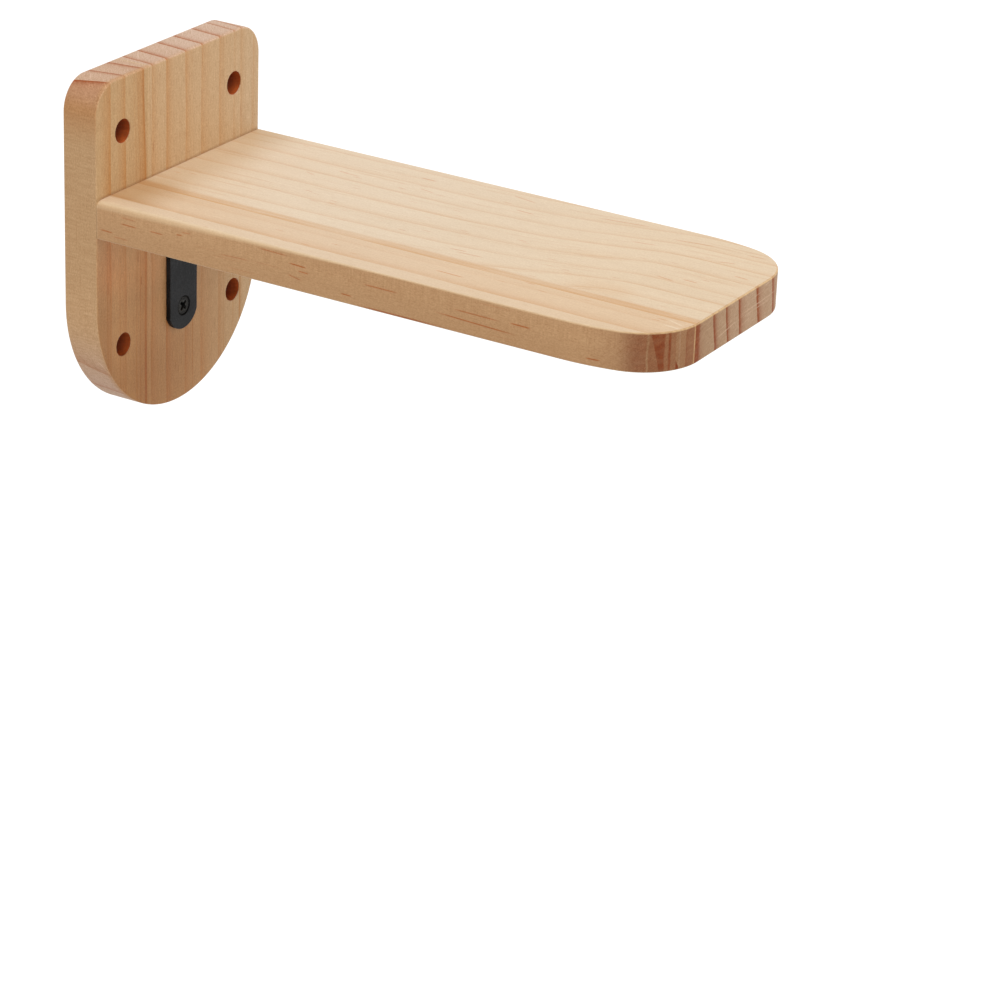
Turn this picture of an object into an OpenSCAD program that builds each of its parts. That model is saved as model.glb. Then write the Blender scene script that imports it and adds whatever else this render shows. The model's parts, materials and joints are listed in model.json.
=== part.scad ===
// Cat wall shelf: a pine plate on the wall, a pine step board butted to it, and a steel
// angle bracket in the corner below. Millimetres, +Z up.
// The wall is the plane Y = 0 and the board stands out towards -Y.
// The origin is the centre of the four wall holes on the plate's back face.

/* [Back plate] */
// Width of the back plate
plate_w = 120; // [100:1:180]
// Height of the back plate, with its half-round bottom
plate_h = 160; // [133:1:240]
// Thickness of the back plate
plate_t = 17; // [14:0.5:25]
// Radius of the two top corners
plate_corner_r = 14; // [4:0.5:24]

/* [Step board] */
// Width of the step board
board_w = 120; // [100:1:180]
// Length of the step board, from the plate's front face to its tip
board_l = 273; // [200:1:400]
// Thickness of the step board
board_t = 17; // [14:0.5:25]
// Radius of the two front corners
board_corner_r = 28; // [5:1:40]
// How far before a front corner the side begins to run in, on a long arc
corner_lead_l = 18; // [8:1:40]
// How far in from the side that arc sets the corner
corner_lead_in = 2; // [0.5:0.1:5]
// Drop from the plate's top edge to the board's top face
board_drop = 50; // [40:1:60]

/* [Board edges] */
// Round-over along the grain, on the long edges of both boards
edge_r = 1.5; // [0.5:0.1:4]

/* [Wall holes] */
// Diameter of the four wall holes
wall_hole_d = 10.5; // [5:0.1:13]
// From the plate's side to the centre of a hole
wall_hole_side = 19; // [15:0.5:26]
// From the plate's top edge to the upper row
wall_hole_top = 24; // [15:0.5:32]
// From the plate's lowest point to the lower row
wall_hole_bottom = 39; // [34:0.5:48]

/* [Angle bracket] */
// Width of the bracket's flat bar
bracket_w = 20; // [15:0.5:30]
// Thickness of the bar
bracket_t = 2.5; // [2.1:0.1:4]
// Length of the leg on the plate, from the outer corner
plate_leg = 59; // [50:1:72]
// Length of the leg on the board, from the outer corner
board_leg = 59; // [50:1:90]
// Inner radius of the bend
bend_r = 2; // [0.5:0.1:4]
// How much the round end's radius exceeds half the bar's width
tip_extra = 0.75; // [0:0.05:2]
// Distance between the two screws of one leg
bracket_screw_pitch = 28; // [22:1:32]

/* [Bracket screws] */
// Outer diameter of the thread
bracket_screw_d = 4; // [3:0.1:4.5]
// Length from the head's top to the point
bracket_screw_l = 14; // [10:0.5:14]
// Diameter of the head
bracket_screw_head_d = 8; // [6:0.1:8.4]
// Depth of the head's top under the bar's face
bracket_screw_sink = 0.3; // [0:0.05:0.5]

/* [Joint screws] */
// Outer diameter of the thread
joint_screw_d = 4.5; // [3.5:0.1:5.5]
// Length from the head's top to the point
joint_screw_l = 50; // [40:1:70]
// Diameter of the head
joint_screw_head_d = 9; // [7:0.1:10.5]
// Depth of the head's top under the plate's back face
joint_screw_sink = 0.5; // [0:0.1:1.5]
// From the board's side to the centre of a joint screw
joint_screw_side = 25; // [15:0.5:35]

/* [Hidden] */
$fn = 64;

pine = [0.86, 0.69, 0.48];
pine_light = [0.91, 0.77, 0.57];
black_steel = [0.16, 0.16, 0.17];
screw_black = [0.24, 0.24, 0.25];
zinc = [0.72, 0.70, 0.62];

// How far a cutting shape runs past the face that it cuts
overrun = 1;
// Play between a thread and the wood, and between a screw head and its seat
thread_play = 0.05;
seat_play = 0.05;
// Play round the shank in the bracket and in the plate
shank_play = 0.2;
// Empty end of a pilot hole past the screw's point
pilot_spare = 1;

// Screw form: share of the thread's diameter in its core, share of the head's height that is a
// straight rim, pitch and point length as shares of the diameter
core_share = 0.68;
rim_share = 0.05;
thread_pitch_share = 0.45;
point_share = 1.1;
// Share of a joint screw's length that is plain shank
plain_shank_share = 0.4;
// Cross recess: diameter, slot width and depth as shares of the head's diameter
recess_d_share = 0.58;
recess_slot_share = 0.15;
recess_depth_share = 0.27;
// Diameter at the recess's floor as a share of its mouth
recess_floor_share = 0.45;
// Turn of the recess about the screw's axis
recess_turn = 45;

// Heights in the plate, from the centre of the wall holes
wall_hole_dx = plate_w - 2 * wall_hole_side;
wall_hole_dz = plate_h - wall_hole_top - wall_hole_bottom;
plate_top = wall_hole_dz / 2 + wall_hole_top;
plate_bottom = plate_top - plate_h;
bottom_r = plate_w / 2;
plate_front = -plate_t;

board_top = plate_top - board_drop;
board_bottom = board_top - board_t;
board_middle = board_top - board_t / 2;

// The long arc into a front corner: how much its radius exceeds the corner's, so that the two arcs
// meet without a kink, its radius, and how far it turns
lead_extra_r = (corner_lead_l * corner_lead_l + corner_lead_in * corner_lead_in) / (2 * corner_lead_in);
lead_r = board_corner_r + lead_extra_r;
lead_turn = atan2(corner_lead_l, lead_extra_r - corner_lead_in);

bracket_front = plate_front - bracket_t;
tip_r = bracket_w / 2 + tip_extra;
joint_screw_dx = board_w / 2 - joint_screw_side;

// Distances of a leg's two screws from the bracket's outer corner
function leg_screws(leg) = [leg - tip_r - bracket_screw_pitch, leg - tip_r];

// Rectangle with four round corners, centred
module rounded_rect(w, h, r) {
    square([w - 2 * r, h], center = true);
    square([w, h - 2 * r], center = true);
    for (x = [-1, 1], y = [-1, 1])
        translate([x * (w / 2 - r), y * (h / 2 - r)])
            circle(r);
}

// Planed stock: a bar along +Z with round long edges, from z = 0 to len
module stock(w, t, len) {
    linear_extrude(len)
        rounded_rect(w, t, edge_r);
}

// Outline of the plate in its own plane: x across, y up, half-round at the bottom
module plate_outline() {
    straight_h = plate_h - bottom_r - plate_corner_r;
    translate([0, plate_bottom + bottom_r])
        circle(bottom_r, $fn = 128);
    translate([-plate_w / 2, plate_bottom + bottom_r])
        square([plate_w, straight_h]);
    translate([-plate_w / 2 + plate_corner_r, plate_bottom + bottom_r])
        square([plate_w - 2 * plate_corner_r, plate_h - bottom_r]);
    for (x = [-1, 1])
        translate([x * (plate_w / 2 - plate_corner_r), plate_top - plate_corner_r])
            circle(plate_corner_r);
}

// Outline of the board seen from above: x across, y from the plate (0) to the tip (-board_l)
module board_outline() {
    corner_x = board_w / 2 - corner_lead_in - board_corner_r;
    corner_y = board_corner_r - board_l;
    lead_y = corner_y + corner_lead_l;
    translate([-board_w / 2, lead_y])
        square([board_w, -lead_y]);
    translate([-corner_x, -board_l])
        square([2 * corner_x, board_l]);
    for (side = [0, 1])
        mirror([side, 0]) {
            translate([board_w / 2 - lead_r, lead_y])
                sector(lead_r, lead_turn);
            translate([corner_x, corner_y])
                circle(board_corner_r, $fn = 96);
        }
}

// Part of a disc, to the same angle on both sides of +x
module sector(r, angle) {
    reach = r / cos(angle);
    intersection() {
        circle(r, $fn = 256);
        polygon([[0, 0], [r, -r * tan(angle)], [reach, 0], [r, r * tan(angle)]]);
    }
}

// A countersunk wood screw along -Z: the head's top is at z = 0 and the point at z = -len
module wood_screw(d, len, head_d, plain_share) {
    r = d / 2;
    core_r = r * core_share;
    head_r = head_d / 2;
    rim_h = head_r * rim_share;
    neck_z = -rim_h - (head_r - r);
    point_l = d * point_share;
    thread_top = min(neck_z, -len * plain_share);
    thread_bottom = -len + point_l;
    turns = ceil((thread_top - thread_bottom) / (d * thread_pitch_share));
    pitch = (thread_top - thread_bottom) / turns;
    // Each ridge of the thread: its upper root and its crest
    ridges = [for (i = [0 : turns - 1])
                  let (root_z = thread_top - i * pitch)
                      each [[core_r, root_z], [r, root_z - pitch / 2]]];
    outline = concat(
        [[0, 0], [head_r, 0], [head_r, -rim_h], [r, neck_z], [r, min(neck_z, thread_top)]],
        ridges,
        [[core_r, thread_bottom], [0, -len]]);
    difference() {
        rotate_extrude()
            polygon(outline);
        cross_recess(head_d);
    }
}

// Cross recess in a screw head, its mouth at z = 0: two slots trimmed by a cone
module cross_recess(head_d) {
    mouth_r = head_d * recess_d_share / 2;
    slot_w = head_d * recess_slot_share;
    depth = head_d * recess_depth_share;
    rotate([0, 0, recess_turn])
        intersection() {
            translate([0, 0, -depth])
                cylinder(h = depth + overrun, r1 = mouth_r * recess_floor_share,
                         r2 = mouth_r * (1 + (1 - recess_floor_share) * overrun / depth));
            for (a = [0, 90])
                rotate([0, 0, a])
                    translate([-mouth_r - overrun, -slot_w / 2, -depth])
                        cube([2 * (mouth_r + overrun), slot_w, depth + overrun]);
        }
}

// Hole for a countersunk screw along -Z whose head is sunk below the face z = 0: a 45 degree seat,
// a clearance hole through the first piece, and a tight hole for the thread
module screw_hole(d, len, head_d, sink, through) {
    head_r = head_d / 2;
    clear_r = d / 2 + shank_play;
    seat_bottom = -sink - head_r * rim_share - seat_play - (head_r - clear_r);
    seat_h = overrun - seat_bottom;
    thread_depth = sink + len + pilot_spare;
    translate([0, 0, seat_bottom])
        cylinder(h = seat_h, r1 = clear_r, r2 = clear_r + seat_h);
    translate([0, 0, -through])
        cylinder(h = through + overrun, r = clear_r);
    translate([0, 0, -thread_depth])
        cylinder(h = thread_depth + overrun, r = d / 2 + thread_play);
}

module bracket_screw_hole() {
    screw_hole(bracket_screw_d, bracket_screw_l, bracket_screw_head_d, bracket_screw_sink, bracket_t);
}

// The two holes of each leg, through the bracket and into the wood behind it
module plate_leg_holes() {
    for (i = [0, 1])
        at_plate_leg(i)
            bracket_screw_hole();
}

module board_leg_holes() {
    for (i = [0, 1])
        at_board_leg(i)
            bracket_screw_hole();
}

// The two holes from the plate's back into the board's end
module joint_holes() {
    for (side = [-1, 1])
        at_joint(side)
            screw_hole(joint_screw_d, joint_screw_l, joint_screw_head_d, joint_screw_sink, plate_t);
}

// Place children, made along -Z under the bar's face, at a screw of the plate leg
module at_plate_leg(i) {
    translate([0, bracket_front, board_bottom - leg_screws(plate_leg)[i]])
        rotate([90, 0, 0])
            children();
}

// The same on the board leg, where the screws point up into the board
module at_board_leg(i) {
    translate([0, plate_front - leg_screws(board_leg)[i], board_bottom - bracket_t])
        rotate([180, 0, 0])
            children();
}

// Place children, made along -Z under the plate's back face, at a joint screw (-1 left, 1 right)
module at_joint(side) {
    translate([side * joint_screw_dx, 0, board_middle])
        rotate([-90, 0, 0])
            children();
}

module back_plate() {
    color(pine)
    difference() {
        intersection() {
            rotate([90, 0, 0])
                linear_extrude(plate_t)
                    plate_outline();
            translate([0, -plate_t / 2, plate_bottom])
                stock(plate_w, plate_t, plate_h);
        }
        for (x = [-1, 1], z = [-1, 1])
            translate([x * wall_hole_dx / 2, overrun, z * wall_hole_dz / 2])
                rotate([90, 0, 0])
                    cylinder(h = plate_t + 2 * overrun, d = wall_hole_d);
        plate_leg_holes();
        joint_holes();
    }
}

module step_board() {
    color(pine_light)
    difference() {
        intersection() {
            translate([0, plate_front, board_bottom])
                linear_extrude(board_t)
                    board_outline();
            translate([0, plate_front, board_middle])
                rotate([90, 0, 0])
                    stock(board_w, board_t, board_l);
        }
        board_leg_holes();
        joint_holes();
    }
}

// One flat leg with a round end: x across, y from the end of the bend to the tip
module leg_outline(leg) {
    flat = leg - bend_r - bracket_t;
    intersection() {
        translate([-bracket_w / 2, 0])
            square([bracket_w, flat]);
        union() {
            translate([-bracket_w / 2, 0])
                square([bracket_w, flat - tip_r]);
            translate([0, flat - tip_r])
                circle(tip_r);
        }
    }
}

module angle_bracket() {
    bend_outer = bend_r + bracket_t;
    color(black_steel)
    difference() {
        union() {
            // Leg on the plate, pointing down
            translate([0, plate_front, board_bottom - bend_outer])
                rotate([90, 0, 0])
                    linear_extrude(bracket_t)
                        mirror([0, 1])
                            leg_outline(plate_leg);
            // Leg under the board, pointing away from the wall
            translate([0, plate_front - bend_outer, board_bottom - bracket_t])
                linear_extrude(bracket_t)
                    mirror([0, 1])
                        leg_outline(board_leg);
            // The quarter bend between them
            translate([-bracket_w / 2, plate_front - bend_outer, board_bottom - bend_outer])
                rotate([90, 0, 90])
                    linear_extrude(bracket_w)
                        intersection() {
                            difference() {
                                circle(bend_outer);
                                circle(bend_r);
                            }
                            square(bend_outer);
                        }
        }
        plate_leg_holes();
        board_leg_holes();
    }
}

// A bracket screw, its head sunk below the bar's face z = 0
module bracket_screw() {
    color(screw_black)
    translate([0, 0, -bracket_screw_sink])
        wood_screw(bracket_screw_d, bracket_screw_l, bracket_screw_head_d, 0);
}

module plate_screw_upper() at_plate_leg(0) bracket_screw();

module plate_screw_lower() at_plate_leg(1) bracket_screw();

module board_screw_inner() at_board_leg(0) bracket_screw();

module board_screw_outer() at_board_leg(1) bracket_screw();

module joint_screw(side) {
    color(zinc)
    at_joint(side)
        translate([0, 0, -joint_screw_sink])
            wood_screw(joint_screw_d, joint_screw_l, joint_screw_head_d, plain_shank_share);
}

module joint_screw_left() joint_screw(-1);

module joint_screw_right() joint_screw(1);

back_plate();
step_board();
angle_bracket();
plate_screw_upper();
plate_screw_lower();
board_screw_inner();
board_screw_outer();
joint_screw_left();
joint_screw_right();
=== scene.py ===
import json
import math
from collections import namedtuple

import bmesh
import bpy
from mathutils import Color, Matrix, Quaternion, Vector
from mathutils.geometry import tessellate_polygon


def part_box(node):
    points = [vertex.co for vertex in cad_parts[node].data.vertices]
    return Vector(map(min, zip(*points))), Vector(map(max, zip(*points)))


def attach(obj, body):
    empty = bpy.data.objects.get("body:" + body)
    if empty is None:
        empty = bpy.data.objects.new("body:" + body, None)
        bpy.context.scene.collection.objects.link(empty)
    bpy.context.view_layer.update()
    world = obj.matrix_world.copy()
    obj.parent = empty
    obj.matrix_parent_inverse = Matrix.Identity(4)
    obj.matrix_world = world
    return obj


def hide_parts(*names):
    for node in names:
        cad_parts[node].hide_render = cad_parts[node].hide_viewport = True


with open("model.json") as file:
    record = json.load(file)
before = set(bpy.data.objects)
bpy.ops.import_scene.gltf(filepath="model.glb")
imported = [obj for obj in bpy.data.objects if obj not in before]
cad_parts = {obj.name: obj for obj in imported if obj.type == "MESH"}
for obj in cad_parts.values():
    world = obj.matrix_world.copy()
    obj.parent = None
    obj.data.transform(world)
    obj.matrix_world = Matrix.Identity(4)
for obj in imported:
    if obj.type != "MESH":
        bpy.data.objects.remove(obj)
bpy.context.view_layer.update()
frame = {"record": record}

# Lengths are in millimetres and become metres when a mesh is built
MM = 0.001
X, Y, Z = range(3)


def box_mm(node):
    """A CAD node's lowest and highest corners in millimetres."""
    low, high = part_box(node)
    return low / MM, high / MM


def add_object(name, data):
    made = bpy.data.objects.new(name, data)
    bpy.context.scene.collection.objects.link(made)
    return made


PLATE_LOW, PLATE_HIGH = box_mm("back_plate")
BOARD_LOW, BOARD_HIGH = box_mm("step_board")
BRACKET_LOW, BRACKET_HIGH = box_mm("angle_bracket")
PLATE_W = PLATE_HIGH.x - PLATE_LOW.x
BOARD_W = BOARD_HIGH.x - BOARD_LOW.x
BOARD_L = BOARD_HIGH.y - BOARD_LOW.y
# Where the board's top meets the plate, from the plate's top
SEAM = PLATE_HIGH.z - BOARD_HIGH.z
PLATE_SCREWS = ("plate_screw_upper", "plate_screw_lower")
BOARD_SCREWS = ("board_screw_inner", "board_screw_outer")
JOINT_SCREWS = ("joint_screw_left", "joint_screw_right")


# Shader nodes

OPAQUE = 1.0
WHITE = (1.0, 1.0, 1.0, OPAQUE)
BRIGHTEST = 255
# Name of the mesh attribute that holds each point's share of eased edge
EDGE = "edge"
# Socket numbers of the mix node: its share, its two numbers, its two colours, and the colour it gives
MIX_SHARE, MIX_NUMBERS, MIX_COLOURS, MIX_COLOUR_OUT = 0, (2, 3), (6, 7), 2


def srgb(*shown):
    """A colour given as red, green and blue on screen, 0 to 255, in linear light."""
    return (*Color([c / BRIGHTEST for c in shown]).from_srgb_to_scene_linear(), OPAQUE)


def tint(red, green, blue):
    """What a colour's red, green and blue are multiplied by."""
    return red, green, blue, OPAQUE


class Value:
    """A number or colour that varies over a surface. Numbers are reckoned with as usual."""

    def __init__(self, tree, socket):
        self.tree = tree
        self.socket = socket

    def node(self, kind, inputs, **settings):
        return self.tree.value(kind, inputs, **settings)

    def math(self, operation, *values):
        return self.node("ShaderNodeMath", dict(enumerate(values)), operation=operation)

    def __add__(self, other):
        return self.math("ADD", self, other)

    def __sub__(self, other):
        return self.math("SUBTRACT", self, other)

    def __rsub__(self, other):
        return self.math("SUBTRACT", other, self)

    def __mul__(self, other):
        return self.math("MULTIPLY", self, other)

    def __truediv__(self, number):
        return self * (1 / number)

    def __pow__(self, other):
        return self.math("POWER", self, other)

    def __neg__(self):
        return self * -1

    def __abs__(self):
        return self.math("ABSOLUTE", self)

    __radd__ = __add__

    def most(self, other):
        """The larger of two numbers."""
        return self.math("MAXIMUM", self, other)

    def ramp(self, low, high, start=0.0, end=1.0, kind="SMOOTHSTEP"):
        """From start to end as this goes from low to high, and held beyond. high may lie below low."""
        inputs = dict(enumerate((self, low, high, start, end)))
        return self.node("ShaderNodeMapRange", inputs, interpolation_type=kind)

    def line(self, low, high, start=0.0, end=1.0):
        """A straight ramp."""
        return self.ramp(low, high, start, end, "LINEAR")

    def fade(self, start, end):
        """A ramp over a whole share, 0 to 1."""
        return self.ramp(0, 1, start, end)

    def between(self, a, b):
        """Number a where this share is 0, number b where it is 1."""
        return self.node("ShaderNodeMix", {MIX_SHARE: self, MIX_NUMBERS[0]: a, MIX_NUMBERS[1]: b})

    def mix(self, a, b):
        """Colour a where this share is 0, colour b where it is 1."""
        return self.tree.mix(self, a, b)

    def tinted(self, by):
        """This colour multiplied by another."""
        return self.tree.mix(1.0, self, by, "MULTIPLY")

    def through(self, rows):
        """A smooth curve through rows of (this, result), results 0 to 1, held beyond its ends."""
        first, last = rows[0][0], rows[-1][0]
        points = [((at - first) / (last - first), result) for at, result in rows]
        node = self.tree.add("ShaderNodeFloatCurve", {"Value": self.line(first, last)})
        curve = node.mapping.curves[0]
        curve.points[0].location = points[0]
        curve.points[-1].location = points[-1]
        for point in points[1:-1]:
            curve.points.new(*point)
        for point in curve.points:
            point.handle_type = "AUTO_CLAMPED"
        node.mapping.update()
        return Value(self.tree, node.outputs[0])

    def bump(self, depth, strength):
        """The surface's normal, with this as the height of its relief."""
        return self.node("ShaderNodeBump", {"Height": self, "Distance": depth * MM, "Strength": strength})


class Tree:
    """The node tree of a material or a world, with short calls that add linked nodes."""

    def __init__(self, owner):
        owner.use_nodes = True
        self.tree = owner.node_tree
        self.tree.nodes.clear()

    def add(self, kind, inputs=None, **settings):
        node = self.tree.nodes.new(kind)
        for key, setting in settings.items():
            setattr(node, key, setting)
        for key, given in (inputs or {}).items():
            if isinstance(given, Value):
                self.tree.links.new(given.socket, node.inputs[key])
            else:
                node.inputs[key].default_value = given
        return node

    def value(self, kind, inputs=None, output=0, **settings):
        """One output of a new node."""
        return Value(self, self.add(kind, inputs, **settings).outputs[output])

    def mix(self, share, a, b, blend="MIX"):
        inputs = {MIX_SHARE: share, MIX_COLOURS[0]: a, MIX_COLOURS[1]: b}
        return self.value("ShaderNodeMix", inputs, MIX_COLOUR_OUT, data_type="RGBA", blend_type=blend)

    def split(self, value):
        """The three parts of a vector or a colour."""
        return [Value(self, part) for part in self.add("ShaderNodeSeparateXYZ", {0: value}).outputs]

    def position(self):
        """Object coordinates in millimetres."""
        inputs = {0: self.value("ShaderNodeTexCoord", output="Object"), "Scale": 1 / MM}
        return self.split(self.value("ShaderNodeVectorMath", inputs, operation="SCALE"))

    def facing(self):
        """The way the surface faces, as its shares along X, Y and Z."""
        return self.split(self.value("ShaderNodeTexCoord", output="Normal"))

    def edge(self):
        return self.value("ShaderNodeAttribute", output="Fac", attribute_name=EDGE)

    def surface(self, colour, roughness, **more):
        """The principled shader as the tree's output. Underscores in names stand for spaces."""
        inputs = {"Base Color": colour, "Roughness": roughness}
        for key, given in more.items():
            inputs[key.replace("_", " ")] = given
        self.add("ShaderNodeOutputMaterial", {"Surface": self.value("ShaderNodeBsdfPrincipled", inputs)})


def new_material(name):
    material = bpy.data.materials.new(name)
    return material, Tree(material)


def vector(x, y, z):
    return x.node("ShaderNodeCombineXYZ", {X: x, Y: y, Z: z})


def noise(x, y, z, octaves, roughness):
    """Smooth random numbers about one half, in grains one unit across."""
    inputs = {"Vector": vector(x, y, z), "Scale": 1.0, "Detail": octaves, "Roughness": roughness}
    return x.node("ShaderNodeTexNoise", inputs)


def cells(u, v):
    """Flat random cells: the distance to the nearest cell's point, and that cell's random number."""
    inputs = {"Vector": vector(u, v, 0.0), "Scale": 1.0}
    found = u.tree.add("ShaderNodeTexVoronoi", inputs, voronoi_dimensions="2D").outputs
    return Value(u.tree, found["Distance"]), u.tree.split(Value(u.tree, found["Color"]))[0]


# A noise pattern: grains per unit of each of three coordinates, octaves and roughness
Noise = namedtuple("Noise", "rates octaves roughness")
# Bounds that noise seldom leaves, from wide to narrow
WIDE_SPAN = (0.2, 0.8)
NOISE_SPAN = (0.25, 0.75)
HALF_SPAN = (0.3, 0.7)
NARROW_SPAN = (0.35, 0.65)


def even_noise(rate, octaves, roughness):
    return Noise((rate, rate, rate), octaves, roughness)


def grains(kind, *place):
    """A noise pattern over three coordinates."""
    x, y, z = [coordinate * rate for coordinate, rate in zip(place, kind.rates)]
    return noise(x, y, z, kind.octaves, kind.roughness)


def tinted_over(colour, share, by):
    """A colour that is tinted over a share of the surface."""
    return share.mix(colour, colour.tinted(by))


# Wood: where a point lies and how the surface is cut there

# Millimetres across the grain, along it and into the panel, and shares of three ways of cutting
Place = namedtuple("Place", "across along depth on_front on_side on_end")
# Share of the normal at which a way of cutting begins to show, and at which it shows fully
FRONT_CUT = (0.5, 0.9)
SIDE_CUT = (0.35, 0.9)
BOARD_END_CUT = (0.03, 0.5)
PLATE_END_CUT = (0.1, 0.72)


def board_place(tree):
    """Across from the right edge, along from the plate, depth from the top."""
    x, y, z = tree.position()
    facing_x, facing_y, facing_z = tree.facing()
    return Place(
        BOARD_HIGH.x - x, BOARD_HIGH.y - y, BOARD_HIGH.z - z,
        abs(facing_z).ramp(*FRONT_CUT), abs(facing_x).ramp(*SIDE_CUT), abs(facing_y).ramp(*BOARD_END_CUT))


def plate_place(tree):
    """Across from the left edge, along from the top, depth from the front."""
    x, y, z = tree.position()
    facing_x, facing_y, facing_z = tree.facing()
    return Place(
        x - PLATE_LOW.x, PLATE_HIGH.z - z, y - PLATE_LOW.y,
        (-facing_y).ramp(*FRONT_CUT), abs(facing_x).ramp(*SIDE_CUT), abs(facing_z).ramp(*PLATE_END_CUT))


# Wood: streaks, flecks and dashes

# Noise along the grain: width, length, octaves, seed, and how far it swings to each side of zero
Streak = namedtuple("Streak", "width length octaves seed reach", defaults=(1.0,))
BOARD_WOBBLE = Streak(20, 80, 1, 0, 0.6)
BOARD_RIPPLE = Streak(4, 25, 2, 11, 0.25)
PLATE_WOBBLE = Streak(20, 60, 1, 0, 0.4)
LINE_WOBBLE = Streak(30, 50, 1, 0, 0.3)
CORNER_WAVER = Streak(3, 200, 2, 12, 0.25)
BAND_EDGE = Streak(1.6, 90, 2, 5, 0.7)
BAND_LINES = Streak(0.9, 120, 2, 9, 0.25)
LINE_BREAKS = Streak(3, 60, 2, 7)
RING_TONES = Streak(9, 70, 2, 2)
END_TONES = Streak(2.5, 70, 2, 8)
CANAL_GROUPS = Streak(25, 60, 1, 4)
FINE_STREAKS = {
    "fibre": Streak(1.2, 70, 4, 0), "hair": Streak(0.5, 5, 2, 1),
    "speck": Streak(0.55, 0.9, 1, 6), "cloud": Streak(18, 90, 2, 3),
}
STREAK_ROUGHNESS = 0.6

# Random short dashes: width, length, share of the cells that hold one, seed
Fleck = namedtuple("Fleck", "width length filled seed")
FACE_FLECKS = Fleck(0.4, 6, 0.5, 1.5)
SIDE_FLECKS = Fleck(0.3, 20, 0.3, 8.5)
# How many times its own width and length a fleck's cell is, its full core, and the faintest one
FLECK_CELL = 6
FLECK_CORE = 0.4
FAINTEST_FLECK = 0.4

# Resin canals on the board's top: from the plate, to, distance from the right edge, sink, strength
TOP_DASHES = (
    (60, 66, 26.2, 0.2, 0.5), (93, 102, 12, 0.1, 0.7), (100, 109, 24.6, 1.6, 0.45),
    (137, 151, 8.6, 2.4, 0.5), (147, 157, 22.3, 0.5, 0.6), (149, 158, 78, -1.0, 0.55),
    (153, 167, 79.8, -1.0, 0.5), (157, 173, 103.5, 0.5, 0.7), (179, 206, 7.8, -4.2, 0.55),
    (205, 218, 25, -2.4, 0.5), (218, 238, 12.2, -3.4, 0.55), (244, 252, 52.3, 0.2, 0.6),
    (233, 243, 55.5, 1.6, 0.5), (252, 262, 11.5, -0.6, 0.5), (246, 254, 24.5, -2.6, 0.55),
    (259, 267, 36.5, 0.6, 0.6), (62, 72, 26.6, 0.3, 0.4), (49, 55, 36, 1.5, 0.4))
# On its sides, by depth
SIDE_DASHES = (
    (1.5, 9, 12.2, 0.2, 0.8), (8, 17, 13.9, 0.2, 0.45), (12, 21.5, 7.3, 0.2, 0.8),
    (12, 21, 4.4, 0.2, 0.4), (27, 35, 7.3, 0.1, 0.7), (41, 44.5, 5.6, -0.3, 0.8),
    (43.5, 49, 4.0, -0.3, 0.5), (62, 79, 9.2, -0.5, 0.4), (82, 98, 2.5, 0.3, 0.6),
    (97.5, 107, 5.7, 0.4, 1.0), (102, 108, 8.1, 0.2, 0.75), (97, 104.5, 11.2, 1.3, 0.6),
    (123, 129, 13, 0.1, 0.9), (133, 152, 6.5, 0.1, 0.75), (167, 208, 11, 1.3, 0.85),
    (176, 200, 7.3, 0.3, 0.7), (203, 214, 7.1, 0.1, 0.95), (238, 245, 13.8, 0.0, 0.9))
# Pale torn fibres on its top, and saw scratches across its end, by depth
TORN_FIBRES = ((261, 270, 96.4, 3, 0.5), (262, 271, 101, 0.8, 0.55), (259, 267, 89, -0.6, 0.3))
END_SCRATCHES = (
    (57, 76, 10.6, 2.6, 0.7), (22, 55, 7.5, 1.2, 0.8), (27, 52, 9.2, 0.7, 0.6), (36, 48, 3.8, 0.9, 0.4))
# Resin canals on the plate's front: from the top, to, distance from the left edge, sink, strength
PLATE_DASHES = (
    (4, 12, 45.5, 0, 0.3), (34, 40, 41, 0, 0.5), (35, 41, 106, 0, 0.4),
    (88, 96, 8, 0, 0.45), (80, 87, 29.5, 0, 0.8), (93, 98, 31.8, 0, 0.8),
    (83, 90, 39, 0, 0.5), (122, 127, 22, 0, 0.4), (104, 111, 94, 0, 0.5))


def streaks(place, kind):
    along = place.along / kind.length + kind.seed
    found = noise(place.across / kind.width, place.depth / kind.width, along, kind.octaves, STREAK_ROUGHNESS)
    return found.line(*NOISE_SPAN, -kind.reach, kind.reach)


def flecks(beside, along, kind):
    """Random short dashes along the grain on a flat face, 0 to 1."""
    u = beside / (FLECK_CELL * kind.width)
    v = along / (FLECK_CELL * kind.length) + kind.seed
    distance, chance = cells(u, v)
    half = 1 / (2 * FLECK_CELL)
    least = 1 - kind.filled
    kept = chance.math("GREATER_THAN", chance, least)
    return distance.ramp(half, FLECK_CORE * half) * kept * chance.ramp(least, 1.0, FAINTEST_FLECK, 1.0)


def thin_line(position, at, half_width):
    return abs(position - at).ramp(half_width, 0.0)


def dashes(beside, along, rows, half_width):
    """The dashes of a list, each a thin line with tapering ends, 0 to 1."""
    total = 0.0
    for start, end, level, sink, strength in rows:
        length = end - start
        run = along - (start + end) / 2
        taper = abs(run).ramp(length / 4, length / 2, strength, 0.0)
        sunk = beside - run * (sink / length)
        total = (taper * thin_line(sunk, level, half_width)).most(total)
    return total


# Wood: growth rings

# What the rings do at a place: latewood share, 1 on the panel's narrow stave, the glue line's share
Grain = namedtuple("Grain", "late on_strip glue")
# Share of a ring's width at which its latewood starts to stop
LATEWOOD_END = 0.965
# Faint rings come out more in end grain
END_STRENGTH_POWER = 0.25
END_DEPTH = 1.5

# A stave's rings: where they end, how dark each is, how steeply they darken on faces and in end grain
Rings = namedtuple("Rings", "places strengths powers")
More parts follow.
